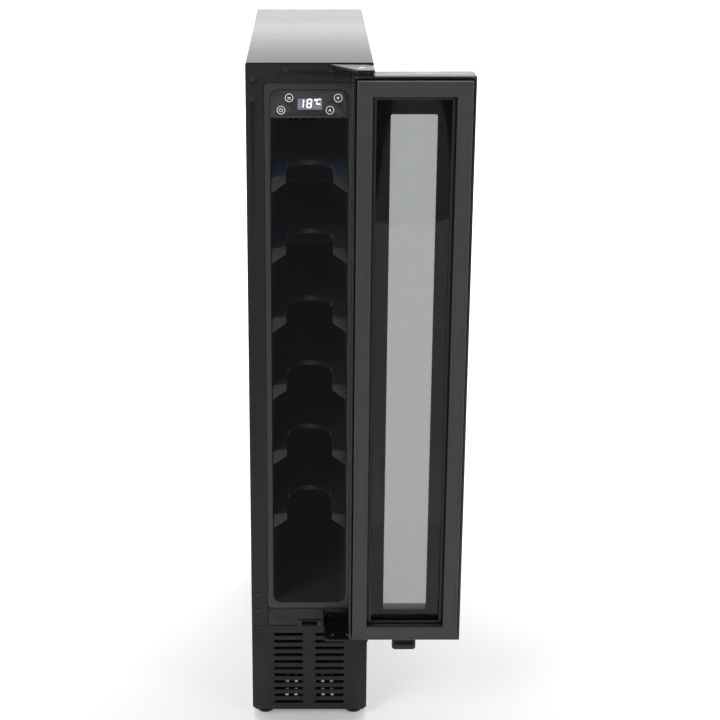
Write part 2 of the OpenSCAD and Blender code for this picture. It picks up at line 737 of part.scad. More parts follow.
module rear_grille() color(steel_colour) upright(case_d - 1, case_d) difference() {
    slotted([-half_w + 1, case_z + 0.2], [half_w - 1, deck_z - 0.3],
            [[-60, -6], [6, 60]], 8, 9, 90, 4);
    translate([inlet_x - 14.2, inlet_z - 10.2]) square([28.4, 20.4]);
}

module rear_spacers() color([0.08, 0.08, 0.08])
    for (x = [-50, 50], z = [200, 800]) translate([x, case_d + 0.05, z]) rotate([-90, 0, 0])
        rotate_extrude() polygon([[0, 0], [9, 0], [9, 3], [6, 8], [6, 14], [5, 15], [0, 15]]);

// ---------------------------------------------------------------- feet

module foot_sockets() color(steel_colour)
    for (x = [-foot_x, foot_x], y = [foot_y_front, foot_y_rear]) translate([x, y, case_z])
        difference() {
            cylinder(r = 7.9, h = 14);
            translate([0, 0, -1]) cylinder(r = 4 + fit, h = 16);
        }

// Adjustable foot: round pad, hexagon for a spanner and stem
module foot(x, y) color([0.05, 0.05, 0.05]) translate([x, y, 0]) {
    rotate_extrude() polygon([[0, 0], [9.5, 0], [10.5, 1], [10.5, 3.4], [9, 4.4], [0, 4.4]]);
    translate([0, 0, 4.3]) cylinder(r = 7, h = 3.3, $fn = 6);
    translate([0, 0, 7]) cylinder(r = 4, h = 21);
}

module foot_front_left() foot(-foot_x, foot_y_front);
module foot_front_right() foot(foot_x, foot_y_front);
module foot_rear_left() foot(-foot_x, foot_y_rear);
module foot_rear_right() foot(foot_x, foot_y_rear);

// ---------------------------------------------------------------- door

chamber_y0 = outer_pane_y + pane_t + mask_t + 3;
chamber_y1 = inner_pane_y - 3;

module door_rails() color(case_colour) hung() difference() {
    mitred_frame(door_w, door_h, rail_d, 0.12) difference() {
        union() {
            translate([0, outer_pane_y + pane_t + mask_t])
                square([rail_d, inner_pane_y - outer_pane_y - pane_t - mask_t]);
            translate([0, inner_pane_y - 1]) square([3, door_back - inner_pane_y + 1]);
        }
        translate([3, chamber_y0]) square([rail_d - 6, chamber_y1 - chamber_y0]);
    }
    for (z = [door_z - 1, door_z + door_h - 19])
        translate([pin_x, pin_y, z]) cylinder(r = bush_r, h = 20);
}

// Angle pieces that join the rails inside their chambers
module corner_keys() color(steel_colour) hung() difference() {
    for (sx = [-1, 1], sz = [-1, 1]) {
        x = sx * (door_half - 3.3);
        z = door_mid + sz * (door_h / 2 - 3.3);
        block([min(x, x - sx * 48), chamber_y0 + 0.3, min(z, z - sz * 19.6)],
              [max(x, x - sx * 48), chamber_y1 - 0.3, max(z, z - sz * 19.6)]);
        block([min(x, x - sx * 19.6), chamber_y0 + 0.3, min(z, z - sz * 48)],
              [max(x, x - sx * 19.6), chamber_y1 - 0.3, max(z, z - sz * 48)]);
    }
    for (z = [door_z - 1, door_z + door_h - 19])
        translate([pin_x, pin_y, z]) cylinder(r = bush_r, h = 20);
}

module outer_glass() color([0.2, 0.22, 0.22, 0.5]) hung()
    upright(outer_pane_y, outer_pane_y + pane_t)
        round_rect([-door_half, door_z], [door_half, door_z + door_h], 1.5);

module inner_glass() color([0.5, 0.55, 0.53, 0.4]) hung()
    door_plate(23, inner_pane_y, inner_pane_y + pane_t);

// Clear window left by the printed borders, in front view
module window_outline(grow = 0) {
    round_rect([-26.5 - grow, door_z + 40 - grow],
               [26.5 + grow, door_z + door_h - 44 + grow], 2);
}

// Printed borders and bonding tape on the panes' inner faces
module glass_masks() color("black") hung() {
    upright(outer_pane_y + pane_t, outer_pane_y + pane_t + mask_t - 0.05) difference() {
        square_frame(0.2);
        window_outline();
    }
    upright(inner_pane_y - mask_t, inner_pane_y - 0.02) difference() {
        square_frame(rail_d + 0.2);
        window_outline();
    }
}

// Front view of the door inset by some distance
module square_frame(inset) {
    translate([-door_half + inset, door_z + inset])
        square([door_w - 2 * inset, door_h - 2 * inset]);
}

module glazing_spacer() color([0.3, 0.31, 0.31]) hung()
    upright(outer_pane_y + pane_t + mask_t, inner_pane_y - mask_t - 0.02) difference() {
        square_frame(34);
        window_outline();
    }

module door_gasket() color(seal_colour) hung()
    mitred_frame(door_w, door_h, rail_d) polygon([
        [4, gasket_face - 0.9], [4.9, gasket_face], [7, gasket_face], [7.5, gasket_face - 0.5],
        [8, gasket_face], [18, gasket_face], [18.5, gasket_face - 0.5], [19, gasket_face],
        [21.1, gasket_face], [22, gasket_face - 0.9], [22, -5.4], [20.4, -7], [21.4, -9],
        [20.4, -11], [20.4, -14.4], [17.8, -14.4], [17.8, -6.1], [8.2, -6.1], [8.2, -14.4],
        [5.6, -14.4], [5.6, -11], [4.6, -9], [5.6, -7], [4, -5.4]
    ]);

module gasket_magnets() color([0.25, 0.2, 0.18]) hung()
    mitred_frame(door_w, door_h, rail_d, 0.4)
        translate([9, -9]) square([8, 2.8]);

// Clamping strip between the rails and the inner pane, with the lip that frames the glass
module gasket_retainer() color(trim_colour) hung()
    mitred_frame(door_w, door_h, 27) polygon([
        [4, inner_pane_y + 0.02], [22.4, inner_pane_y + 0.02], [22.4, -12.8], [26.5, -12.8],
        [26.5, -11.4], [25.6, -10.5], [22.5, -10.5], [22.5, -12], [21.9, -12.6], [21.9, -14.5],
        [4, -14.5]
    ]);

// Flanged bearing bushes in the top and bottom rails
module hinge_bushes() color("ivory") hung() {
    translate([pin_x, pin_y, door_z + door_h - 15]) difference() {
        union() {
            cylinder(r = bush_r - 0.02, h = 15.1);
            translate([0, 0, 15.05]) cylinder(r = 8.6, h = 1.6);
        }
        translate([0, 0, -1]) cylinder(r = pin_r + fit, h = 20);
    }
    translate([pin_x, pin_y, door_z]) difference() {
        cylinder(r = bush_r - 0.02, h = 15);
        translate([0, 0, -1]) cylinder(r = pin_r + fit, h = 20);
    }
}

pull_x = -1.5;
pull_w = 30;
pull_drop = 29;

// Finger pull under the door's bottom rail
module door_pull() color(case_colour) hung() translate([pull_x, 0, 0]) difference() {
    union() {
        upright(door_front + 2, door_front + 9) difference() {
            round_rect([-pull_w / 2, door_z - pull_drop], [pull_w / 2, door_z + 8], 4);
            translate([-pull_w, door_z - 0.1]) square([2 * pull_w, 12]);
        }
        block([-pull_w / 2, door_front + 2, door_z - 3], [pull_w / 2, door_front + 24, door_z - 0.1]);
    }
    // hollow for the fingertips behind the tab
    translate([0, door_front + 14, door_z - 16]) rotate([0, 90, 0])
        cylinder(r = 8, h = pull_w - 6, center = true);
}

outer_case();
back_panel();
base_plate();
deck_plate();
insulation();
liner();
cross_rail();
front_grille();
grille_keeper();
hole_plugs();
hinge_bracket_top();
hinge_bracket_bottom();
hinge_pins();
hinge_screws();
evaporator_cover();
evaporator();
circulation_fan_frame();
circulation_fan_rotor();
temperature_sensor();
control_panel();
control_housing();
display_window();
display_board();
touch_pads();
led_strip();
shelf_1();
shelf_2();
shelf_3();
shelf_4();
shelf_5();
shelf_6();
condenser_coil();
condenser_fan_frame();
condenser_fan_rotor();
compressor();
compressor_mounts();
terminal_box();
refrigerant_pipes();
drain_tube();
drip_tray();
power_box();
mains_inlet();
rear_grille();
rear_spacers();
foot_sockets();
foot_front_left();
foot_front_right();
foot_rear_left();
foot_rear_right();
door_rails();
corner_keys();
outer_glass();
inner_glass();
glass_masks();
glazing_spacer();
door_gasket();
gasket_magnets();
gasket_retainer();
hinge_bushes();
door_pull();
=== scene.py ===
"""Looks of a slim wine cooler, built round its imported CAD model.

The cooler stands on a pale floor with its glass door swung fully open. Every sub-assembly is a
class: it takes its places from the CAD frame, builds its own meshes, dresses them in a finish and
fixes them to the body that they move with. All lengths are metres, in the frame of the CAD model:
X to the right, Y from the front towards the wall and Z up from the floor.
"""

import json
import logging
import math
from dataclasses import dataclass, field
from enum import Enum
from typing import Callable, Optional, Sequence

import bmesh
import bpy
from mathutils import Matrix, Vector

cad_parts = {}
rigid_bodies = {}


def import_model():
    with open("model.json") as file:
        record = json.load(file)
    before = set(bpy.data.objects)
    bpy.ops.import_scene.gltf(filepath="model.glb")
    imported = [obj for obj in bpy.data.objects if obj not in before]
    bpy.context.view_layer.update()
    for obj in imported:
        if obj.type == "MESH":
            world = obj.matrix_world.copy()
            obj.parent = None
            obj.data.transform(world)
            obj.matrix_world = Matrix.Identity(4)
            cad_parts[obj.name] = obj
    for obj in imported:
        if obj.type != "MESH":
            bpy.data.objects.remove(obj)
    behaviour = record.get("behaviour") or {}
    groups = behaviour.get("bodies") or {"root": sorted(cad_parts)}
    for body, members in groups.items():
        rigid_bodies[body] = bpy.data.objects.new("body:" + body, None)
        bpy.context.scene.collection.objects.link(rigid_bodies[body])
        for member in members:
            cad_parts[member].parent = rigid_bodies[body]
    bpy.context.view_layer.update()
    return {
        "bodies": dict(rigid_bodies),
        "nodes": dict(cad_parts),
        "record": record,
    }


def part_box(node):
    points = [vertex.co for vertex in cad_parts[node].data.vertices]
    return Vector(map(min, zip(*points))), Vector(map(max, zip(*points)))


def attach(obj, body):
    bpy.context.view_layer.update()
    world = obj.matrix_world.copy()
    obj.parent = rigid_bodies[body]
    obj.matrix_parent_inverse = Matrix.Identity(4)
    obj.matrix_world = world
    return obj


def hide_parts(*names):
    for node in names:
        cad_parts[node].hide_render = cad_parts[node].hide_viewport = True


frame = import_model()

log = logging.getLogger("wine_cooler")

MM = 0.001
STEEP = math.radians(40.0)  # edges that turn by less than this stay as they are
Point2 = tuple[float, float]
Point3 = tuple[float, float, float]
Colour = tuple[float, float, float]
Weigh = Callable[[Vector], float]


# -------- finishes


def ramp(tree: bpy.types.NodeTree, reach: Point2, values: Point2) -> bpy.types.Node:
    """Adds a node that maps a reach of values onto another one."""
    ranged = tree.nodes.new("ShaderNodeMapRange")
    for name, value in zip(("From Min", "From Max", "To Min", "To Max"), reach + values):
        ranged.inputs[name].default_value = value
    return ranged


@dataclass(frozen=True)
class Finish:
    """A surface finish with fine relief, slow tone drift and uneven gloss.

    Attributes:
        name: Name of the material.
        colour: Linear base colour.
        roughness: Mean roughness.
        metallic: Metallic share.
        specular: Specular level of the shader.
        coat: Weight of a clear coat.
        coat_roughness: Roughness of that coat.
        grain: Cells of the fine relief in a metre.
        relief: Strength of the fine relief.
        depth: Height of the fine relief, in metres.
        stretch: Scale of the relief along X, Y and Z, uneven for brushed metal.
        drift: Share by which the tone drifts over the surface.
        drift_scale: Cells of the tone drift in a metre.
        spread: How far the roughness strays from its mean.
    """

    name: str
    colour: Colour
    roughness: float = 0.5
    metallic: float = 0.0
    specular: float = 0.5
    coat: float = 0.0
    coat_roughness: float = 0.08
    grain: float = 1100.0
    relief: float = 0.2
    depth: float = 0.0001
    stretch: Point3 = (1.0, 1.0, 1.0)
    drift: float = 0.10
    drift_scale: float = 14.0
    spread: float = 0.06

    def shader(self, material: bpy.types.Material) -> bpy.types.Node:
        """Returns the principled shader of a fresh node material."""
        material.use_nodes = True
        return material.node_tree.nodes["Principled BSDF"]

    def noise(self, tree: bpy.types.NodeTree, scale: float, stretch: Point3,
              detail: float) -> bpy.types.NodeSocket:
        """Adds noise that is fixed to the object.

        Args:
            tree: Node tree of the material.
            scale: Cells in a metre.
            stretch: Scale along X, Y and Z.
            detail: Octaves of the noise.

        Returns:
            The noise's factor socket.
        """
        place = tree.nodes.new("ShaderNodeTexCoord")
        mapping = tree.nodes.new("ShaderNodeMapping")
        mapping.inputs["Scale"].default_value = stretch
        texture = tree.nodes.new("ShaderNodeTexNoise")
        texture.inputs["Scale"].default_value = scale
        texture.inputs["Detail"].default_value = detail
        tree.links.new(place.outputs["Object"], mapping.inputs["Vector"])
        tree.links.new(mapping.outputs["Vector"], texture.inputs["Vector"])
        return texture.outputs["Fac"]

    def tone(self, tree: bpy.types.NodeTree, shader: bpy.types.Node) -> None:
        """Lets the base colour drift slowly between a darker and a lighter tone."""
        mix = tree.nodes.new("ShaderNodeMix")
        mix.data_type = "RGBA"
        for socket, share in ((mix.inputs[6], 1 - self.drift), (mix.inputs[7], 1 + self.drift)):
            socket.default_value = (*[min(1.0, c * share) for c in self.colour], 1.0)
        factor = self.noise(tree, self.drift_scale, (1.0, 1.0, 1.0), 3.0)
        tree.links.new(factor, mix.inputs[0])
        tree.links.new(mix.outputs[2], shader.inputs["Base Color"])

    def gloss(self, tree: bpy.types.NodeTree, shader: bpy.types.Node) -> None:
        """Lets the roughness stray round its mean, as on a handled surface."""
        ranged = ramp(tree, (0.3, 0.7), (max(0.02, self.roughness - self.spread),
                                         min(1.0, self.roughness + self.spread)))
        factor = self.noise(tree, self.drift_scale * 2.6, (1.0, 1.0, 0.6), 4.0)
        tree.links.new(factor, ranged.inputs["Value"])
        tree.links.new(ranged.outputs["Result"], shader.inputs["Roughness"])

    def bump(self, tree: bpy.types.NodeTree, shader: bpy.types.Node) -> None:
        """Adds the fine relief."""
        node = tree.nodes.new("ShaderNodeBump")
        node.inputs["Strength"].default_value = self.relief
        node.inputs["Distance"].default_value = self.depth
        height = self.noise(tree, self.grain, self.stretch, 2.0)
        tree.links.new(height, node.inputs["Height"])
        tree.links.new(node.outputs["Normal"], shader.inputs["Normal"])

    def make(self) -> bpy.types.Material:
        """Builds the material, or returns it if it was built before."""
        name = f"{self.name}_finish"
        material = bpy.data.materials.get(name)
        if material is None:
            material = bpy.data.materials.new(name)
            self.dress(material)
        return material

    def dress(self, material: bpy.types.Material) -> None:
        """Sets up the shader of a fresh material."""
        shader = self.shader(material)
        shader.inputs["Metallic"].default_value = self.metallic
        shader.inputs["Specular IOR Level"].default_value = self.specular
        shader.inputs["Coat Weight"].default_value = self.coat
        shader.inputs["Coat Roughness"].default_value = self.coat_roughness
        tree = material.node_tree
        self.tone(tree, shader)
        self.gloss(tree, shader)
        self.bump(tree, shader)


@dataclass(frozen=True)
class Glass(Finish):
    """Clear tinted glass with the faint unevenness of a wiped pane.

    Attributes:
        ior: Index of refraction.
    """

    ior: float = 1.5

    def dress(self, material: bpy.types.Material) -> None:
        """Sets up the shader of a fresh material."""
        shader = self.shader(material)
        shader.inputs["Transmission Weight"].default_value = 1.0
        shader.inputs["IOR"].default_value = self.ior
        tree = material.node_tree
        self.tone(tree, shader)
        self.gloss(tree, shader)


@dataclass(frozen=True)
class Glow(Finish):
    """A surface that gives off light: strong on a digit or a lamp; as a trace on dark plastic it
    is painted light that lifts shade.

    Attributes:
        light: Colour of the light.
        power: Strength of the light.
    """

    light: Colour = (1.0, 1.0, 1.0)
    power: float = 1.0

    def dress(self, material: bpy.types.Material) -> None:
        """Sets up the shader of a fresh material."""
        super().dress(material)
        shader = self.shader(material)
        shader.inputs["Emission Color"].default_value = (*self.light, 1.0)
        shader.inputs["Emission Strength"].default_value = self.power


FINISHES: dict[str, Finish] = {finish.name: finish for finish in (
    Finish("case_paint", (0.018, 0.018, 0.019), 0.22, specular=0.28, grain=420.0, relief=0.10,
        depth=0.00004, drift=0.04, spread=0.008),
    Finish("back_steel", (0.42, 0.43, 0.44), 0.42, metallic=0.85, grain=260.0, relief=0.16,
        drift=0.16, drift_scale=38.0, spread=0.12),
    Finish("zinc_steel", (0.38, 0.39, 0.40), 0.45, metallic=0.9, grain=180.0, drift=0.22,
        drift_scale=55.0, spread=0.14),
    Finish("foam", (0.72, 0.62, 0.38), 0.9, grain=420.0, relief=0.8, depth=0.0006),
    # liner_plastic glows faintly: painted light that lifts the liner's walls out of the
    # compartment's shade
    Glow("liner_plastic", (0.028, 0.028, 0.030), 0.36, grain=650.0, relief=0.16, depth=0.00008,
        drift=0.08, power=0.006),
    Finish("rail_paint", (0.022, 0.022, 0.023), 0.34, specular=0.35, grain=500.0, relief=0.08,
        depth=0.00004, drift=0.06),
    Finish("grille_plastic", (0.012, 0.012, 0.013), 0.46, specular=0.35, grain=900.0, relief=0.4,
        depth=0.00012),
    Finish("trim_plastic", (0.024, 0.024, 0.026), 0.40, specular=0.4, grain=900.0, relief=0.3),
    Finish("bracket_steel", (0.010, 0.010, 0.011), 0.22, specular=0.3, grain=520.0, relief=0.10,
        depth=0.00004),
    Finish("pin_steel", (0.50, 0.50, 0.51), 0.22, metallic=1.0, grain=300.0,
        stretch=(1.0, 1.0, 9.0), relief=0.12),
    Finish("screw_black", (0.018, 0.018, 0.019), 0.34, metallic=0.35, grain=1600.0, relief=0.25),
    # inner_plastic glows faintly: painted light on the shaded cover and housing inside the
    # compartment
    Glow("inner_plastic", (0.020, 0.020, 0.020), 0.44, grain=1000.0, relief=0.45, depth=0.00014,
        power=0.007),
    Finish("aluminium_fins", (0.70, 0.71, 0.72), 0.33, metallic=1.0, grain=240.0, drift=0.12),
    Finish("fan_plastic", (0.012, 0.012, 0.013), 0.42, relief=0.25),
    Finish("sensor_white", (0.70, 0.70, 0.67), 0.5, relief=0.15),
    Finish("panel_plastic", (0.044, 0.044, 0.047), 0.30, coat=0.15, grain=700.0, relief=0.10,
        depth=0.00005, drift=0.05),
    Finish("board_green", (0.012, 0.075, 0.035), 0.4, relief=0.3),
    Finish("icon_white", (0.045, 0.045, 0.048), 0.30, coat=0.15, relief=0.08),
    # shelf_plastic glows faintly: painted light that lifts the shelves in the compartment's shade
    Glow("shelf_plastic", (0.020, 0.020, 0.021), 0.41, specular=0.4, grain=1250.0, relief=0.5,
        depth=0.00014, power=0.006),
    Finish("coil_black", (0.012, 0.012, 0.012), 0.38, relief=0.4, grain=420.0),
    Finish("compressor_black", (0.010, 0.010, 0.011), 0.24, coat=0.4, grain=240.0, relief=0.3,
        depth=0.00015),
    Finish("rubber_black", (0.016, 0.016, 0.016), 0.72, relief=0.4),
    Finish("copper", (0.62, 0.29, 0.17), 0.32, metallic=1.0, grain=160.0, drift=0.24,
        drift_scale=60.0, spread=0.12),
    Finish("clear_hose", (0.62, 0.64, 0.62), 0.35, relief=0.12),
    Finish("tray_plastic", (0.024, 0.024, 0.024), 0.5, relief=0.4),
    Finish("door_aluminium", (0.020, 0.020, 0.022), 0.28, metallic=0.2, specular=0.75, grain=520.0,
        relief=0.12, stretch=(1.0, 1.0, 0.08), drift=0.06),
    Finish("spacer_grey", (0.13, 0.135, 0.135), 0.38, metallic=0.6, grain=420.0),
    Finish("black_print", (0.006, 0.006, 0.006), 0.35, specular=0.2, relief=0.05),
    Finish("gasket_rubber", (0.058, 0.058, 0.060), 0.58, specular=0.42, grain=700.0, relief=0.3,
        spread=0.08),
    Finish("magnet", (0.040, 0.034, 0.03), 0.7, relief=0.3),
    Finish("bush_nylon", (0.05, 0.05, 0.05), 0.4, relief=0.15),
    Glass("outer_pane", (0.49, 0.50, 0.495), 0.0, ior=1.4, drift=0.01, spread=0.0),
    Glass("inner_pane", (0.51, 0.52, 0.515), 0.0, ior=1.4, drift=0.01, spread=0.0),
    Finish("display_lens", (0.030, 0.032, 0.038), 0.12, coat=0.3, relief=0.03, drift=0.04),
    Glow("lamp_white", (0.7, 0.8, 0.95), 0.35, light=(0.32, 0.52, 1.0), power=1.6),
)}
ICON_INK = Glow("icon_ink", (0.82, 0.83, 0.84), 0.4, relief=0.1, power=0.30)
DIGIT_GLOW = Glow("digit_glow", (0.80, 0.80, 0.95), 0.4, relief=0.05, light=(0.86, 0.87, 1.0),
                  power=1.25)
DIGIT_SHADE = Glow("digit_shade", (0.20, 0.20, 0.23), 0.4, relief=0.05, light=(0.80, 0.80, 1.0),
                   power=0.16)
FIELD_GLOW = Glow("field_glow", (0.10, 0.10, 0.12), 0.3, relief=0.05, light=(0.75, 0.76, 1.0),
                  power=0.13)


# -------- mesh work


def applied(piece: bpy.types.Object) -> bpy.types.Object:
    """Turns a piece's modifiers into plain mesh.

    Args:
        piece: Object with live modifiers.

    Returns:
        The same object, with a plain mesh and no modifier.
    """
    bpy.context.view_layer.update()
    graph = bpy.context.evaluated_depsgraph_get()
    mesh = bpy.data.meshes.new_from_object(piece.evaluated_get(graph))
    piece.modifiers.clear()
    piece.data = mesh
    return piece


def new_piece(name: str, mesh: bpy.types.Mesh) -> bpy.types.Object:
    """Links a new object that stands at the origin."""
    piece = bpy.data.objects.new(name, mesh)
    bpy.context.scene.collection.objects.link(piece)
    return piece


def shade(mesh: bpy.types.Mesh, angle: float = 32.0) -> None:
    """Shades a mesh smooth, with sharp edges above an angle in degrees."""
    mesh.polygons.foreach_set("use_smooth", [True] * len(mesh.polygons))
    mesh.set_sharp_from_angle(angle=math.radians(angle))


def merged_copy(node: str, name: str) -> bpy.types.Object:
    """Copies a CAD node and joins its loose triangles into clean faces.

    Args:
        node: Name of the CAD node.
        name: Name of the new piece.

    Returns:
        A new object; the CAD node itself stays as it was.
    """
    mesh = frame["nodes"][node].data.copy()
    mesh.materials.clear()
    build = bmesh.new()
    build.from_mesh(mesh)
    bmesh.ops.remove_doubles(build, verts=build.verts, dist=0.002 * MM)
    bmesh.ops.dissolve_limit(build, angle_limit=math.radians(0.6), verts=build.verts,
                             edges=build.edges, use_dissolve_boundaries=False)
    build.to_mesh(mesh)
    build.free()
    if "custom_normal" in mesh.attributes:
        mesh.attributes.remove(mesh.attributes["custom_normal"])
    return new_piece(name, mesh)


def softened(node: str, name: str, width: float, segments: int = 2,
             weigh: Optional[Weigh] = None) -> bpy.types.Object:
    """Copies a CAD node and rounds its edges as a press or a mould leaves them.

    Args:
        node: Name of the CAD node.
        name: Name of the new piece.
        width: Width of the rounding.
        segments: Faces across the rounding.
        weigh: Gives each edge's share of the width from the edge's middle.

    Returns:
        The rounded piece, as a plain mesh.
    """
    piece = merged_copy(node, name)
    bevel = piece.modifiers.new("rounding", "BEVEL")
    bevel.width = width
    bevel.segments = segments
    bevel.use_clamp_overlap = False
    bevel.harden_normals = False
    bevel.miter_outer = "MITER_SHARP"
    if weigh is None:
        bevel.limit_method = "ANGLE"
        bevel.angle_limit = STEEP
    else:
        bevel.limit_method = "WEIGHT"
        mesh = piece.data
        weights = mesh.attributes.new("bevel_weight_edge", "FLOAT", "EDGE")
        steep = sharp_edges(mesh)
        for edge in mesh.edges:
            a, b = (mesh.vertices[i].co for i in edge.vertices)
            share = weigh((a + b) / 2) if edge.index in steep else 0.0
            weights.data[edge.index].value = share
    applied(piece)
    shade(piece.data)
    return piece


def sharp_edges(mesh: bpy.types.Mesh) -> set[int]:
    """Returns the indices of the edges that turn steeply enough to be rounded."""
    build = bmesh.new()
    build.from_mesh(mesh)
    found = {e.index for e in build.edges
             if len(e.link_faces) == 2 and e.calc_face_angle(0.0) > STEEP}
    build.free()
    return found


def mesh_from(name: str, verts: Sequence[Sequence[float]],
              faces: Sequence[Sequence[int]]) -> bpy.types.Object:
    """Makes a piece from points and faces, with its normals turned outwards."""
    mesh = bpy.data.meshes.new(name)
    mesh.from_pydata(verts, [], faces)
    build = bmesh.new()
    build.from_mesh(mesh)
    bmesh.ops.remove_doubles(build, verts=build.verts, dist=0.001 * MM)
    bmesh.ops.recalc_face_normals(build, faces=build.faces)
    build.to_mesh(mesh)
    build.free()
    shade(mesh)
    return new_piece(name, mesh)


def to_outline(point: Vector, low: Vector, high: Vector) -> float:
    """Returns a point's distance from the nearest line along a side of a box, on X or Z."""
    return min(abs(point.x - low.x), abs(point.x - high.x), abs(point.z - low.z),
               abs(point.z - high.z))


def rectangle(low: Point2, high: Point2) -> list[Point2]:
    """Returns the corners of a rectangle, from one corner round to the next."""
    return [low, (high[0], low[1]), high, (low[0], high[1])]


def offsets(origin: Point2, unit: float) -> Callable[[float, float], Point2]:
    """Returns a function that gives places in units from an origin, on X and Z."""
    return lambda u, v: (origin[0] + u * unit, origin[1] + v * unit)


def rounded_corners(outline: Sequence[Point2], passes: int = 2) -> list[Point2]:
    """Cuts the corners of a closed outline again and again until it reads as round.

    Args:
        outline: Corners of the closed outline.
        passes: Number of rounds of corner cutting.

    Returns:
        The finer outline.
    """
    points = list(outline)
    for _ in range(passes):
        finer: list[Point2] = []
        for here, after in zip(points, points[1:] + points[:1]):
            for t in (0.25, 0.75):
                finer.append((here[0] + t * (after[0] - here[0]),
                              here[1] + t * (after[1] - here[1])))
        points = finer
    return points


@dataclass
class Loft:
    """Collects solids of flat outlines, for icons, digits and small plates.

    Attributes:
        front: Front of the solids, on Y.
        back: Back of the solids, on Y.
        verts: Points so far.
        faces: Faces so far.
    """

    front: float
    back: float
    verts: list[Point3] = field(default_factory=list)
    faces: list[tuple[int, ...]] = field(default_factory=list)

    def slab(self, outline: Sequence[Point2]) -> None:
        """Adds a plate with an outline in the XZ plane."""
        first, count = len(self.verts), len(outline)
        self.verts += [(x, self.front, z) for x, z in outline]
        self.verts += [(x, self.back, z) for x, z in outline]
        self.faces.append(tuple(range(first, first + count)))
        self.faces.append(tuple(reversed(range(first + count, first + 2 * count))))
        for i in range(count):
            j = (i + 1) % count
            self.faces.append((first + i, first + j, first + count + j, first + count + i))

    def ring(self, centre: Point2, outer: float, inner: float, start: float = 0.0,
             sweep: float = 360.0, steps: int = 36) -> None:
        """Adds a flat ring or an arc of one round a centre in the XZ plane."""
        for i in range(steps):
            a = math.radians(start + sweep * i / steps)
            b = math.radians(start + sweep * (i + 1) / steps)
            corners = [(outer, a), (outer, b), (inner, b), (inner, a)]
            self.slab([(centre[0] + r * math.cos(t), centre[1] + r * math.sin(t))
                       for r, t in corners])

    def bar(self, a: Point2, b: Point2, width: float) -> None:
        """Adds a straight stroke from a to b with pointed ends."""
        along = Vector((b[0] - a[0], b[1] - a[1])).normalized()
        side = Vector((-along.y, along.x)) * width / 2
        tip = along * width / 2
        start, end = Vector(a), Vector(b)
        self.slab([tuple(p) for p in (start, start + tip + side, end - tip + side, end,
                                      end - tip - side, start + tip - side)])

    def piece(self, name: str) -> bpy.types.Object:
        """Makes the collected solids one piece."""
        return mesh_from(name, self.verts, self.faces)


# -------- geometry nodes


class Spread(Enum):
    """How a repeated item is laid out."""

    ROW = "row"
    POINTS = "points"


@dataclass
class Repeat:
    """Geometry nodes that repeat one item along a row or on given points.

    Attributes:
        spread: Layout of the copies.
        item: Object that is repeated; its own origin is its anchor.
        material: Finish of every copy.
        count: Number of copies in a row.
        step: Offset from one copy to the next in a row.
    """

    spread: Spread
    item: bpy.types.Object
    material: bpy.types.Material
    count: int = 1
    step: Point3 = (0.0, 0.0, 0.0)

    def tree(self) -> bpy.types.NodeTree:
        """Builds the node tree with its named inputs."""
        tree = bpy.data.node_groups.new(f"repeat_{self.spread.value}", "GeometryNodeTree")
        add = tree.interface.new_socket
        add("Geometry", in_out="OUTPUT", socket_type="NodeSocketGeometry")
        for name, kind in (("Points", "Geometry"), ("Item", "Object"), ("Finish", "Material"),
                           ("Count", "Int"), ("Step", "Vector")):
            add(name, in_out="INPUT", socket_type=f"NodeSocket{kind}")
        start = tree.nodes.new("NodeGroupInput")
        end = tree.nodes.new("NodeGroupOutput")
        info = tree.nodes.new("GeometryNodeObjectInfo")
        place = tree.nodes.new("GeometryNodeInstanceOnPoints")
        real = tree.nodes.new("GeometryNodeRealizeInstances")
        dress = tree.nodes.new("GeometryNodeSetMaterial")
        link = tree.links.new
        link(start.outputs["Item"], info.inputs["Object"])
        link(info.outputs["Geometry"], place.inputs["Instance"])
        if self.spread is Spread.ROW:
            line = tree.nodes.new("GeometryNodeMeshLine")
            link(start.outputs["Count"], line.inputs["Count"])
            link(start.outputs["Step"], line.inputs["Offset"])
            link(line.outputs["Mesh"], place.inputs["Points"])
        else:
            link(start.outputs["Points"], place.inputs["Points"])
        link(place.outputs["Instances"], real.inputs["Geometry"])
        link(real.outputs["Geometry"], dress.inputs["Geometry"])
        link(start.outputs["Finish"], dress.inputs["Material"])
        link(dress.outputs["Geometry"], end.inputs["Geometry"])
        return tree

    def build(self, name: str, points: Sequence[Point3]) -> bpy.types.Object:
        """Runs the tree and keeps its result as a plain mesh.

        Args:
            name: Name of the new piece.
            points: Anchors of the copies, or the first anchor of a row.

        Returns:
            The piece with every copy in place.
        """
        mesh = bpy.data.meshes.new(name)
        mesh.from_pydata([tuple(p) for p in points], [], [])
        piece = new_piece(name, mesh)
        modifier = piece.modifiers.new("repeat", "NODES")
        modifier.node_group = self.tree()
        values = {"Item": self.item, "Finish": self.material, "Count": self.count,
                  "Step": self.step}
        for socket in modifier.node_group.interface.items_tree:
            if socket.in_out == "INPUT" and socket.name in values:
                modifier[socket.identifier] = values[socket.name]
        applied(piece)
        if self.spread is Spread.ROW:
            piece.data.transform(Matrix.Translation(points[0]))
        bpy.data.objects.remove(self.item)
        shade(piece.data)
        return piece


# -------- sub-assemblies


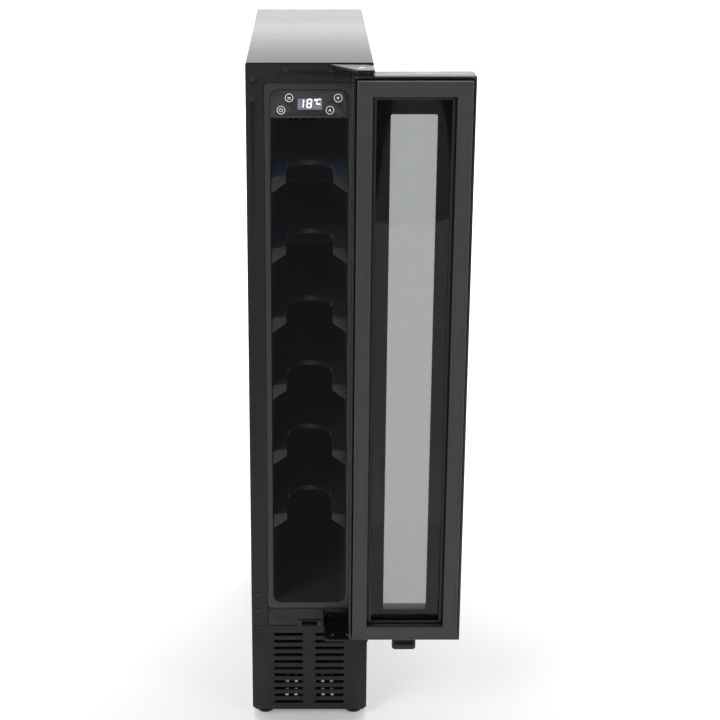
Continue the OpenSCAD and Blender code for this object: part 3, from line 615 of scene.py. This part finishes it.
@dataclass
class Assembly:
    """Common work of every sub-assembly.

    Attributes:
        body: Name of the CAD body that its pieces move with.
    """

    body: str = "cabinet"

    def fix(self, piece: bpy.types.Object, slot: str, *nodes: str,
            body: Optional[str] = None, finish: Optional[Finish] = None) -> None:
        """Dresses a piece, fixes it to its body and reports it.

        Args:
            piece: The finished piece.
            slot: Material slot of the record that it takes its finish from.
            *nodes: CAD nodes that the piece stands for.
            body: Body that it moves with, if not the assembly's own.
            finish: Finish other than the slot's own.
        """
        material = (finish or FINISHES[slot]).make()
        piece.data.materials.clear()
        piece.data.materials.append(material)
        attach(piece, body or self.body)
        if nodes:
            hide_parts(*nodes)
        log.info("%s: %d faces, on %s", piece.name, len(piece.data.polygons),
                 body or self.body)

    def soften(self, node: str, slot: str, width: float, segments: int = 2,
               weigh: Optional[Weigh] = None, body: Optional[str] = None) -> None:
        """Replaces a CAD node by a copy of itself with rounded edges."""
        piece = softened(node, f"{node}_shell", width, segments, weigh)
        self.fix(piece, slot, node, body=body)


@dataclass
class Cabinet(Assembly):
    """Outer case, rail, grille, keeper and the back of the cooler.

    Attributes:
        fold: Rounding of the folded sheet's edges.
        moulded: Rounding of the rail, the grille and the keeper.
        screw_inset: Distance of the back's screws from its edges.
        screw_gaps: Gaps between the screws along each side of the back.
    """

    fold: float = 0.3 * MM
    moulded: float = 0.3 * MM
    screw_inset: float = 6 * MM
    screw_gaps: int = 6

    def front(self) -> None:
        """Rounds the case, the rail, the grille and the keeper."""
        self.soften("outer_case", "case_paint", self.fold, 3)
        self.soften("cross_rail", "rail_paint", self.moulded)
        self.soften("front_grille", "grille_plastic", self.moulded)
        self.soften("grille_keeper", "trim_plastic", self.moulded)

    def back(self) -> None:
        """Dresses the back: panel, vent plate, inlet and the screws of both plates."""
        self.soften("back_panel", "back_steel", 0.25 * MM)
        self.soften("rear_grille", "zinc_steel", 0.2 * MM)
        self.soften("mains_inlet", "trim_plastic", 0.5 * MM)
        low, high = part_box("back_panel")
        inset, face, gaps = self.screw_inset, high.y, self.screw_gaps
        rows = [low.z + inset + k * (high.z - low.z - 2 * inset) / gaps
                for k in range(gaps + 1)]
        points = [(x, face, z) for z in rows for x in (low.x + inset, high.x - inset)]
        vent_low, vent_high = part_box("rear_grille")
        points += [(x, face, z) for z in (vent_low.z + inset, vent_high.z - inset)
                   for x in (vent_low.x + inset, vent_high.x - inset)]
        screws = Repeat(Spread.POINTS, screw_head(3.4 * MM, 1.4 * MM),
                        FINISHES["zinc_steel"].make())
        self.fix(screws.build("back_screws", points), "zinc_steel")

    def build(self) -> None:
        """Builds the whole sub-assembly."""
        self.front()
        self.back()


def screw_head(radius: float, height: float) -> bpy.types.Object:
    """Makes a round screw head that looks towards the wall, with two crossed recesses.

    Args:
        radius: Radius of the head.
        height: Height of the head.

    Returns:
        A head whose seat is at its own origin.
    """
    steps, rings, rim = 32, 5, 0.86
    verts: list[Point3] = []
    faces: list[tuple[int, ...]] = []
    half_slot, reach = radius * 0.14, radius * 0.62
    for ring in range(rings + 1):
        share = ring / rings
        r = radius * math.cos(share * math.pi / 2 * rim)
        y = height * math.sin(share * math.pi / 2) if ring else 0.0
        for k in range(steps):
            t = 2 * math.pi * k / steps
            x, z = r * math.cos(t), r * math.sin(t)
            near, far = sorted((abs(x), abs(z)))
            in_cross = near < half_slot and far < reach
            sink = height * 0.5 if in_cross and ring > 1 else 0.0
            verts.append((x, y - sink, z))
    for ring in range(rings):
        for k in range(steps):
            a, b = ring * steps + k, ring * steps + (k + 1) % steps
            faces.append((a, b, b + steps, a + steps))
    faces.append(tuple(range(rings * steps, (rings + 1) * steps)))
    faces.append(tuple(reversed(range(steps))))
    head = mesh_from("screw_head", verts, faces)
    recess = Loft(height * 1.4, height * 0.35)
    for turn in (45.0, 135.0):
        c, s = math.cos(math.radians(turn)), math.sin(math.radians(turn))
        corners = rectangle((reach, half_slot), (-reach, -half_slot))
        recess.slab([(c * u - s * v, s * u + c * v) for u, v in corners])
    cutter = recess.piece("screw_recess")
    cut = head.modifiers.new("recess", "BOOLEAN")
    cut.operation = "DIFFERENCE"
    cut.solver = "EXACT"
    cut.use_self = True
    cut.object = cutter
    applied(head)
    bpy.data.objects.remove(cutter)
    return head


@dataclass
class Hinges(Assembly):
    """Hinge brackets and their pins.

    Attributes:
        edge: Rounding of the pressed steel.
    """

    edge: float = 0.3 * MM

    def build(self) -> None:
        """Rounds the brackets and the pins."""
        self.soften("hinge_bracket_top", "bracket_steel", self.edge, 3)
        self.soften("hinge_bracket_bottom", "bracket_steel", self.edge, 3)
        self.soften("hinge_pins", "pin_steel", 0.2 * MM)


@dataclass
class Compartment(Assembly):
    """Liner, shelves, evaporator cover and the cold side behind it.

    Attributes:
        lip: Rounding of the liner's front lip.
        shelf_edge: Rounding of the moulded shelves.
        fin_count: Number of fins on the evaporator.
    """

    lip: float = 0.6 * MM
    shelf_edge: float = 0.45 * MM
    fin_count: int = 34

    def liner(self) -> None:
        """Rounds the liner's lip at the opening more than its flange."""
        low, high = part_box("liner")
        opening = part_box("evaporator_cover")
        depth, band, rim = 1.2 * MM, 10 * MM, 3 * MM
        inside_share, flange_share = 0.3, 0.25

        def weigh(middle: Vector) -> float:
            """Returns an edge's share of the lip's rounding from the edge's middle."""
            if middle.y - low.y > depth:
                return inside_share
            on_lip = (to_outline(middle, *opening) < band
                      and to_outline(middle, low, high) > rim)
            return 1.0 if on_lip else flange_share

        self.soften("liner", "liner_plastic", self.lip, 4, weigh)

    def shelves(self) -> None:
        """Rounds every pull-out shelf; each moves with its own body."""
        names = [body for body in frame["bodies"] if body.startswith("shelf_")]
        for body in sorted(names):
            self.soften(body, "shelf_plastic", self.shelf_edge, 3, body=body)

    def evaporator(self) -> None:
        """Adds a fine fin pack on the evaporator's tubes."""
        low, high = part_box("evaporator")
        margin, thick = 6 * MM, 0.3 * MM
        fin = Loft(0.0, high.y - low.y)
        top = high.z - margin - low.z
        fin.slab(rectangle((0.0, 0.0), (thick, top)))
        step = (high.x - low.x - 2 * margin) / (self.fin_count - 1)
        pack = Repeat(Spread.ROW, fin.piece("fin"), FINISHES["aluminium_fins"].make(),
                      self.fin_count, (step, 0.0, 0.0))
        first = (low.x + margin, low.y, low.z + margin / 2)
        self.fix(pack.build("evaporator_fins", [first]), "aluminium_fins")

    def build(self) -> None:
        """Builds the whole sub-assembly."""
        self.liner()
        self.soften("evaporator_cover", "inner_plastic", 0.5 * MM)
        self.shelves()
        self.evaporator()


class Icon(Enum):
    """Symbols on the touch panel."""

    LAMP = "lamp"
    POWER = "power"
    DOWN = "down"
    UP = "up"


@dataclass
class ControlPanel(Assembly):
    """Touch panel with its symbols, its display and the lamp strip under it.

    Attributes:
        ink: Height of the printed symbols above the pads.
        root: Depth of the prints in the pads that carry them.
        stroke: Width of the ring round a symbol.
        hairline: Width of the thin strokes between two pads.
        icon_radius: Radius of the ring round each symbol.
        pad: Distance of a ring's middle from the ends of the pads.
        digit_height: Height of a digit.
        digit_width: Width of a digit.
        segment: Width of a digit's segment.
        slant: Lean of the digits, as a share of their height.
        mark_count: Number of small marks above the display.
        mark_height: Height of the small marks above the display.
        mark_pitch: Distance from one small mark to the next.
        diode_count: Number of diodes in the lamp strip.
    """

    ink: float = 0.05 * MM
    root: float = 0.3 * MM
    stroke: float = 0.75 * MM
    hairline: float = 0.4 * MM
    icon_radius: float = 4.9 * MM
    pad: float = 5.5 * MM
    digit_height: float = 9.4 * MM
    digit_width: float = 4.9 * MM
    segment: float = 1.5 * MM
    slant: float = 0.08
    mark_count: int = 5
    mark_height: float = 3.6 * MM
    mark_pitch: float = 5.3 * MM
    diode_count: int = 9

    def symbols(self) -> None:
        """Prints the four ringed symbols and the small marks beside them."""
        low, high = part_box("touch_pads")
        sheet = Loft(low.y - self.ink, low.y + self.root)
        r, pad = self.icon_radius, self.pad
        places = {
            Icon.LAMP: (low.x + 9.4 * MM + pad, high.z - pad),
            Icon.POWER: (low.x + pad, low.z + pad + 0.1 * MM),
            Icon.DOWN: (high.x - pad, high.z - pad - 0.2 * MM),
            Icon.UP: (high.x - pad - 9.3 * MM, low.z + pad),
        }
        for icon, centre in places.items():
            sheet.ring(centre, r, r - self.stroke)
            self.symbol(sheet, icon, centre)
        self.marks(sheet, places)
        self.lamps(sheet)
        self.fix(sheet.piece("panel_symbols"), "icon_white", finish=ICON_INK)

    def symbol(self, sheet: Loft, icon: Icon, centre: Point2) -> None:
        """Prints one symbol inside its ring.

        Args:
            sheet: Collects the print.
            icon: Which symbol.
            centre: Middle of the ring, on X and Z.
        """
        unit = self.icon_radius / 5
        at = offsets(centre, unit)
        if icon is Icon.POWER:
            sheet.ring(centre, 2.3 * unit, 1.6 * unit, 125, 290, 20)
            sheet.bar(at(0, 2.7), at(0, 0.3), 0.8 * unit)
        elif icon is Icon.LAMP:
            sheet.slab([at(-2.3, 0.7), at(2.3, 0.7), at(1.1, -0.7), at(-1.1, -0.7)])
            for lean in (-1.2, 0.0, 1.2):
                sheet.bar(at(lean, -1.2), at(1.5 * lean, -2.4), 0.5 * unit)
        else:
            way = 1 if icon is Icon.UP else -1
            sheet.slab([at(-1.9, -1.7 * way), at(0, 2.2 * way), at(1.9, -1.7 * way),
                        at(0, -0.7 * way)][::way])

    def marks(self, sheet: Loft, places: dict[Icon, Point2]) -> None:
        """Prints what tells which two pads are held together.

        Args:
            sheet: Collects the print.
            places: Middle of each symbol's ring, on X and Z.
        """
        thin = self.hairline
        for upper, lower in ((Icon.LAMP, Icon.POWER), (Icon.DOWN, Icon.UP)):
            x, z = places[upper][0], places[lower][1]
            at = offsets((x, z), MM)
            sheet.bar((x, places[upper][1] - 6.2 * MM), (x, z), thin)
            sheet.bar((x, z), at(-2.4, 0), thin)
            if upper is Icon.LAMP:
                sheet.ring(at(2.6, 0.8), 1.1 * MM, 0.6 * MM, 0, 180, 10)
                sheet.slab(rectangle(at(1.4, 0.8), at(3.8, -1.0)))
            else:
                sheet.ring(at(3.0, 0), 0.9 * MM, 0.5 * MM, 60, 240, 8)
                sheet.bar(at(6.4, -1.1), at(5.2, 1.1), thin)

    def lamps(self, sheet: Loft) -> None:
        """Prints the row of small marks above the display, the second one boxed."""
        low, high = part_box("display_window")
        thin, tall, z = 0.45 * MM, self.mark_height / MM, high.z + 2.2 * MM
        for i in range(self.mark_count):
            at = offsets((low.x + 3.6 * MM + i * self.mark_pitch, z), MM)
            sheet.bar(at(0, 0), at(0.5, tall), thin)
            sheet.bar(at(0.5, tall), at(2.0, tall if i % 2 == 0 else 0.6 * tall), thin)
            sheet.bar(at(0.2, tall / 2), at(1.6, 0), thin)
        at = offsets((low.x, z), MM)
        corners = rectangle(at(7.4, -1), at(12.6, tall + 1))
        for a, b in zip(corners, corners[1:] + corners[:1]):
            sheet.bar(a, b, thin)

    def segments(self, sheet: Loft, keys: str, corner: Point2, height: float) -> None:
        """Adds some of a digit's seven segments.

        Args:
            sheet: Collects the segments.
            keys: Letters of the segments, "a" at the top and on clockwise, "g" in the middle.
            corner: Lower left corner of the digit, on X and Z.
            height: Height of the digit.
        """
        width, slant = self.digit_width, self.slant
        x, z = corner
        mid = height / 2
        lines = {
            "a": ((0, height), (width, height)), "b": ((width, height), (width, mid)),
            "c": ((width, mid), (width, 0)), "d": ((0, 0), (width, 0)),
            "e": ((0, mid), (0, 0)), "f": ((0, height), (0, mid)),
            "g": ((0, mid), (width, mid)),
        }
        for key in keys:
            (ax, az), (bx, bz) = lines[key]
            sheet.bar((x + ax + slant * az, z + az), (x + bx + slant * bz, z + bz),
                      self.segment)

    def display(self) -> None:
        """Lights the digits and the unit behind the lens, over their unlit segments."""
        low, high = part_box("display_window")
        face, back = low.y - 0.15 * MM, low.y + 0.2 * MM
        height = self.digit_height
        base = high.z - height - 1.1 * MM
        lit, unlit = Loft(face, back), Loft(face + 0.08 * MM, back)
        for keys, rest, x in (("bc", "adefg", 1.9), ("abcdefg", "", 11.1),
                              ("", "cdeb", 21.4)):
            corner = (low.x + x * MM, base)
            self.segments(lit, keys, corner, height)
            self.segments(unlit, rest, corner, height)
        self.segments(lit, "adef", (low.x + 22.4 * MM, base + 0.42 * height), 0.58 * height)
        lit.ring((low.x + 20.9 * MM, base + height - 0.6 * MM), 1.3 * MM, 0.45 * MM)
        self.fix(lit.piece("display_digits"), "icon_white", finish=DIGIT_GLOW)
        self.fix(unlit.piece("display_segments"), "icon_white", finish=DIGIT_SHADE)
        inset = 0.2 * MM
        lit_field = Loft(low.y - 0.04 * MM, back)
        lit_field.slab(rectangle((low.x + inset, low.z + inset),
                                 (high.x - inset, high.z - inset)))
        self.fix(lit_field.piece("display_field"), "display_lens", finish=FIELD_GLOW)

    def diodes(self) -> None:
        """Sets a row of light diodes into the lamp strip."""
        low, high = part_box("led_strip")
        size, margin = 1.4 * MM, 6 * MM
        cell = Loft(-size, size)
        cell.slab([(-size, 0.0), (size, 0.0), (0.7 * size, -0.35 * MM),
                   (-0.7 * size, -0.35 * MM)])
        step = (high.x - low.x - 2 * margin) / (self.diode_count - 1)
        row = Repeat(Spread.ROW, cell.piece("diode"), FINISHES["lamp_white"].make(),
                     self.diode_count, (step, 0.0, 0.0))
        first = (low.x + margin, (low.y + high.y) / 2, low.z + 0.05 * MM)
        self.fix(row.build("lamp_diodes", [first]), "lamp_white")

    def build(self) -> None:
        """Builds the whole sub-assembly."""
        self.soften("control_panel", "panel_plastic", 0.3 * MM)
        self.soften("control_housing", "inner_plastic", 0.5 * MM)
        self.soften("display_window", "display_lens", 0.2 * MM)
        self.soften("touch_pads", "icon_white", 0.1 * MM)
        self.symbols()
        self.display()
        self.diodes()


@dataclass
class Door(Assembly):
    """Mitred frame, panes, gasket and finger pull of the glass door.

    Attributes:
        body: The door's own body.
        weld: Half width of the gasket's corner welds.
        weld_depth: Depth of the gasket's corner welds.
        lift: Distance of the printed borders from their panes.
    """

    body: str = "door"
    weld: float = 0.22 * MM
    weld_depth: float = 0.3 * MM
    lift: float = 0.1 * MM

    def gasket_section(self) -> list[Point2]:
        """Returns the gasket's section: distance from the door's edge, height over its seat."""
        half = [(13.0, 13.0), (17.9, 13.1), (18.4, 12.55), (18.9, 13.1), (21.2, 13.1),
                (22.0, 12.2), (22.0, 8.8), (21.0, 7.9), (20.2, 7.2), (21.3, 5.6),
                (20.2, 4.0), (21.2, 2.6), (20.4, 1.3), (20.4, 0.0)]
        mirrored = [(26.0 - d, h) for d, h in reversed(half[1:])]
        outline = rounded_corners(half + mirrored)
        return [(d * MM, h * MM) for d, h in outline]

    def gasket(self) -> None:
        """Sweeps the gasket round the door, with a weld in every mitre."""
        low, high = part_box("door_rails")
        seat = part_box("door_gasket")[1].y
        section = self.gasket_section()
        middle = (13.0 * MM, 7.0 * MM)
        corners = [(low.x, low.z, 1, 1), (high.x, low.z, -1, 1),
                   (high.x, high.z, -1, -1), (low.x, high.z, 1, -1)]
        verts: list[Point3] = []
        for x, z, sx, sz in corners:
            horizontal_first = sx * sz > 0
            for stage in (-1, 0, 1):  # before, in and after the corner's weld
                for d, h in section:
                    if stage == 0:
                        out = Vector((d - middle[0], h - middle[1])).normalized()
                        d, h = d - out.x * self.weld_depth, h - out.y * self.weld_depth
                    shift_x = shift_z = 0.0
                    if stage:
                        along_z = (stage < 0) == horizontal_first
                        shift_z = self.weld * sz if along_z else 0.0
                        shift_x = 0.0 if along_z else self.weld * sx
                    verts.append((x + sx * d + shift_x, seat - h, z + sz * d + shift_z))
        count, rings = len(section), 12
        faces = []
        for ring in range(rings):
            for k in range(count):
                a, b = ring * count + k, ring * count + (k + 1) % count
                after = (ring + 1) % rings * count
                faces.append((a, b, after + (k + 1) % count, after + k))
        piece = mesh_from("gasket_profile", verts, faces)
        shade(piece.data, 38.0)
        self.fix(piece, "gasket_rubber", "door_gasket")

    def masks(self) -> None:
        """Lifts the printed borders a hair off the panes that carry them."""
        piece = merged_copy("glass_masks", "glass_masks_shell")
        low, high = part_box("glass_masks")
        for vert in piece.data.vertices:
            for face, way in ((low.y, 1), (high.y, -1)):
                if abs(vert.co.y - face) < 0.1 * MM:
                    vert.co.y += way * self.lift
        shade(piece.data)
        self.fix(piece, "black_print", "glass_masks")

    def build(self) -> None:
        """Builds the whole sub-assembly."""
        self.soften("door_rails", "door_aluminium", 0.5 * MM, 3)
        self.gasket()
        self.soften("gasket_retainer", "trim_plastic", 0.3 * MM, 2)
        self.soften("outer_glass", "outer_pane", 0.5 * MM, 2)
        self.soften("inner_glass", "inner_pane", 0.4 * MM, 2)
        self.masks()
        self.soften("glazing_spacer", "spacer_grey", 0.2 * MM)
        self.soften("door_pull", "trim_plastic", 0.7 * MM, 3)
        self.soften("hinge_bushes", "bush_nylon", 0.2 * MM)


@dataclass
class Machine(Assembly):
    """Compressor, fans, boxes and the tray in the base.

    Attributes:
        blade: Rounding of the impellers.
    """

    blade: float = 0.25 * MM

    def build(self) -> None:
        """Rounds the machine's pieces."""
        for node, slot, width in (("compressor", "compressor_black", 0.4),
                                  ("power_box", "trim_plastic", 0.8),
                                  ("drip_tray", "tray_plastic", 0.6),
                                  ("terminal_box", "trim_plastic", 1.0),
                                  ("condenser_fan_frame", "fan_plastic", 0.4),
                                  ("circulation_fan_frame", "fan_plastic", 0.4)):
            self.soften(node, slot, width * MM)
        for fan in ("condenser", "circulation"):
            self.soften(f"{fan}_fan_rotor", "fan_plastic", self.blade,
                        body=f"{fan}_impeller")


@dataclass
class Feet(Assembly):
    """The four adjustable feet; each moves with its own body.

    Attributes:
        edge: Rounding of a foot's edges.
    """

    edge: float = 0.3 * MM

    def build(self) -> None:
        """Rounds each foot."""
        for body in sorted(b for b in frame["bodies"] if b.startswith("foot_")):
            self.soften(body, "rubber_black", self.edge, 2, body=body)


# -------- studio


@dataclass
class Studio:
    """Pale floor, soft light, white surroundings and the camera.

    Attributes:
        lens: Focal length on a 36 mm sensor, in millimetres.
        eye: Place of the camera.
        pitch: How far the camera looks down, in degrees.
        shift: Lens shift on X and Y that frames the cooler.
        glow: Light that the floor gives off behind the cooler, as a lit table does.
        front_glow: Light that it gives off in front, in place of reflected light.
        paper: Tone of the floor near the cooler.
        back_rise: Stretch of Y over which the light behind sets in.
        front_fade: Stretch of Y over which the light in front dies away.
        floor_reach: Half length of the floor's sides.
    """

    lens: float = 85.1
    eye: Point3 = (-0.0003, -1.954, 1.160)
    pitch: float = 19.22
    shift: Point2 = (0.0704, 0.0125)
    glow: float = 1.1
    front_glow: float = 0.62
    paper: float = 0.80
    back_rise: Point2 = (-0.7, 3.0)
    front_fade: Point2 = (-0.9, -0.15)
    floor_reach: float = 14.0

    def camera(self) -> None:
        """Places the camera."""
        data = bpy.data.cameras.new("camera")
        data.lens = self.lens
        data.sensor_width = 36.0
        data.shift_x, data.shift_y = self.shift
        data.clip_start, data.clip_end = 0.05, 60.0
        camera = bpy.data.objects.new("camera", data)
        camera.location = self.eye
        camera.rotation_euler = (math.radians(90.0 - self.pitch), 0.0, 0.0)
        bpy.context.scene.collection.objects.link(camera)
        bpy.context.scene.camera = camera

    def floor(self) -> None:
        """Lays the pale floor."""
        size = self.floor_reach
        mesh = bpy.data.meshes.new("floor")
        mesh.from_pydata([(-size, -size, 0), (size, -size, 0), (size, size, 0),
                          (-size, size, 0)], [], [(0, 1, 2, 3)])
        floor = new_piece("floor", mesh)
        finish = Glow("floor_paper", (self.paper,) * 3, 0.85, specular=0.1, relief=0.02,
                      spread=0.02)
        paper = finish.make()
        tree = paper.node_tree
        shader = finish.shader(paper)
        both = tree.nodes.new("ShaderNodeMath")
        behind = self.along_y(tree, "Object", self.back_rise, (0.0, self.glow))
        before = self.along_y(tree, "Object", self.front_fade, (self.front_glow, 0.0))
        pale = self.along_y(tree, "Object", self.front_fade, (0.0, self.paper))
        tree.links.new(behind, both.inputs[0])
        tree.links.new(before, both.inputs[1])
        tree.links.new(both.outputs["Value"], shader.inputs["Emission Strength"])
        tree.links.new(pale, shader.inputs["Base Color"])
        mesh.materials.append(paper)

    def along_y(self, tree: bpy.types.NodeTree, space: str, reach: Point2,
                values: Point2) -> bpy.types.NodeSocket:
        """Adds a ramp along Y.

        Args:
            tree: Node tree that gets the ramp.
            space: Texture coordinate that the ramp follows.
            reach: Where the ramp starts and ends.
            values: Its values there.

        Returns:
            The ramp's socket.
        """
        place = tree.nodes.new("ShaderNodeTexCoord")
        split = tree.nodes.new("ShaderNodeSeparateXYZ")
        ranged = ramp(tree, reach, values)
        tree.links.new(place.outputs[space], split.inputs["Vector"])
        tree.links.new(split.outputs["Y"], ranged.inputs["Value"])
        return ranged.outputs["Result"]

    def world(self) -> None:
        """Makes the surroundings white behind the cooler and dimmer before it."""
        world = bpy.data.worlds.new("studio")
        world.use_nodes = True
        tree = world.node_tree
        back = tree.nodes["Background"]
        strength = self.along_y(tree, "Generated", (-0.35, 0.75), (0.10, 1.75))
        tree.links.new(strength, back.inputs["Strength"])
        back.inputs["Color"].default_value = (1.0, 1.0, 1.0, 1.0)
        bpy.context.scene.world = world

    def lamp(self, name: str, place: Point3, target: Point3, size: Point2, power: float,
             colour: Colour = (1.0, 1.0, 1.0)) -> None:
        """Hangs a soft rectangular lamp.

        Args:
            name: Name of the lamp.
            place: Where it hangs.
            target: What it faces.
            size: Width and height.
            power: Power in watts.
            colour: Colour of its light.
        """
        data = bpy.data.lights.new(name, "AREA")
        data.shape = "RECTANGLE"
        data.size, data.size_y = size
        data.energy = power
        data.color = colour
        lamp = bpy.data.objects.new(name, data)
        lamp.location = place
        way = Vector(target) - Vector(place)
        lamp.rotation_euler = way.to_track_quat("-Z", "Y").to_euler()
        bpy.context.scene.collection.objects.link(lamp)

    def lights(self) -> None:
        """Hangs the studio lamps and the lamp inside the compartment."""
        for name, place, target, size, power in (
                ("key", (-1.7, -2.0, 2.3), (0.0, 0.0, 0.5), (1.2, 1.6), 34.0),
                ("fill", (2.2, -1.8, 1.2), (0.1, 0.0, 0.4), (1.0, 1.8), 13.0),
                ("top", (0.0, 0.9, 2.6), (0.05, 0.2, 0.5), (2.0, 1.2), 26.0)):
            self.lamp(name, place, target, size, power)
        low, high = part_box("led_strip")
        centre = ((low.x + high.x) / 2, (low.y + high.y) / 2, low.z - 1.5 * MM)
        self.lamp("cold_lamp", centre, (centre[0], centre[1] + 0.02, 0.0),
                  (high.x - low.x, 8 * MM), 0.05, (0.20, 0.38, 1.0))

    def build(self) -> None:
        """Sets up the whole studio."""
        bpy.context.scene.view_settings.view_transform = "Standard"
        self.camera()
        self.floor()
        self.world()
        self.lights()


# -------- main


def dress_cad_nodes() -> None:
    """Gives every CAD node the finish of its material slot."""
    slots = {part["node"]: part["material_slot"] for part in frame["record"]["subparts"]}
    for node, thing in frame["nodes"].items():
        material = FINISHES[slots[node]].make()
        if not thing.data.materials:
            thing.data.materials.append(material)
        for index in range(len(thing.data.materials)):
            thing.data.materials[index] = material
        log.info("%s: dressed as %s", node, slots[node])


def main() -> None:
    """Builds the studio and every sub-assembly, in order, and notes the sizes."""
    logging.basicConfig(level=logging.INFO, format="%(name)s %(message)s")
    Studio().build()
    dress_cad_nodes()
    for assembly in (Cabinet(), Hinges(), Compartment(), ControlPanel(), Door(), Machine(),
                     Feet()):
        assembly.build()
        log.info("%s is done", type(assembly).__name__)


if __name__ == "__main__":
    main()
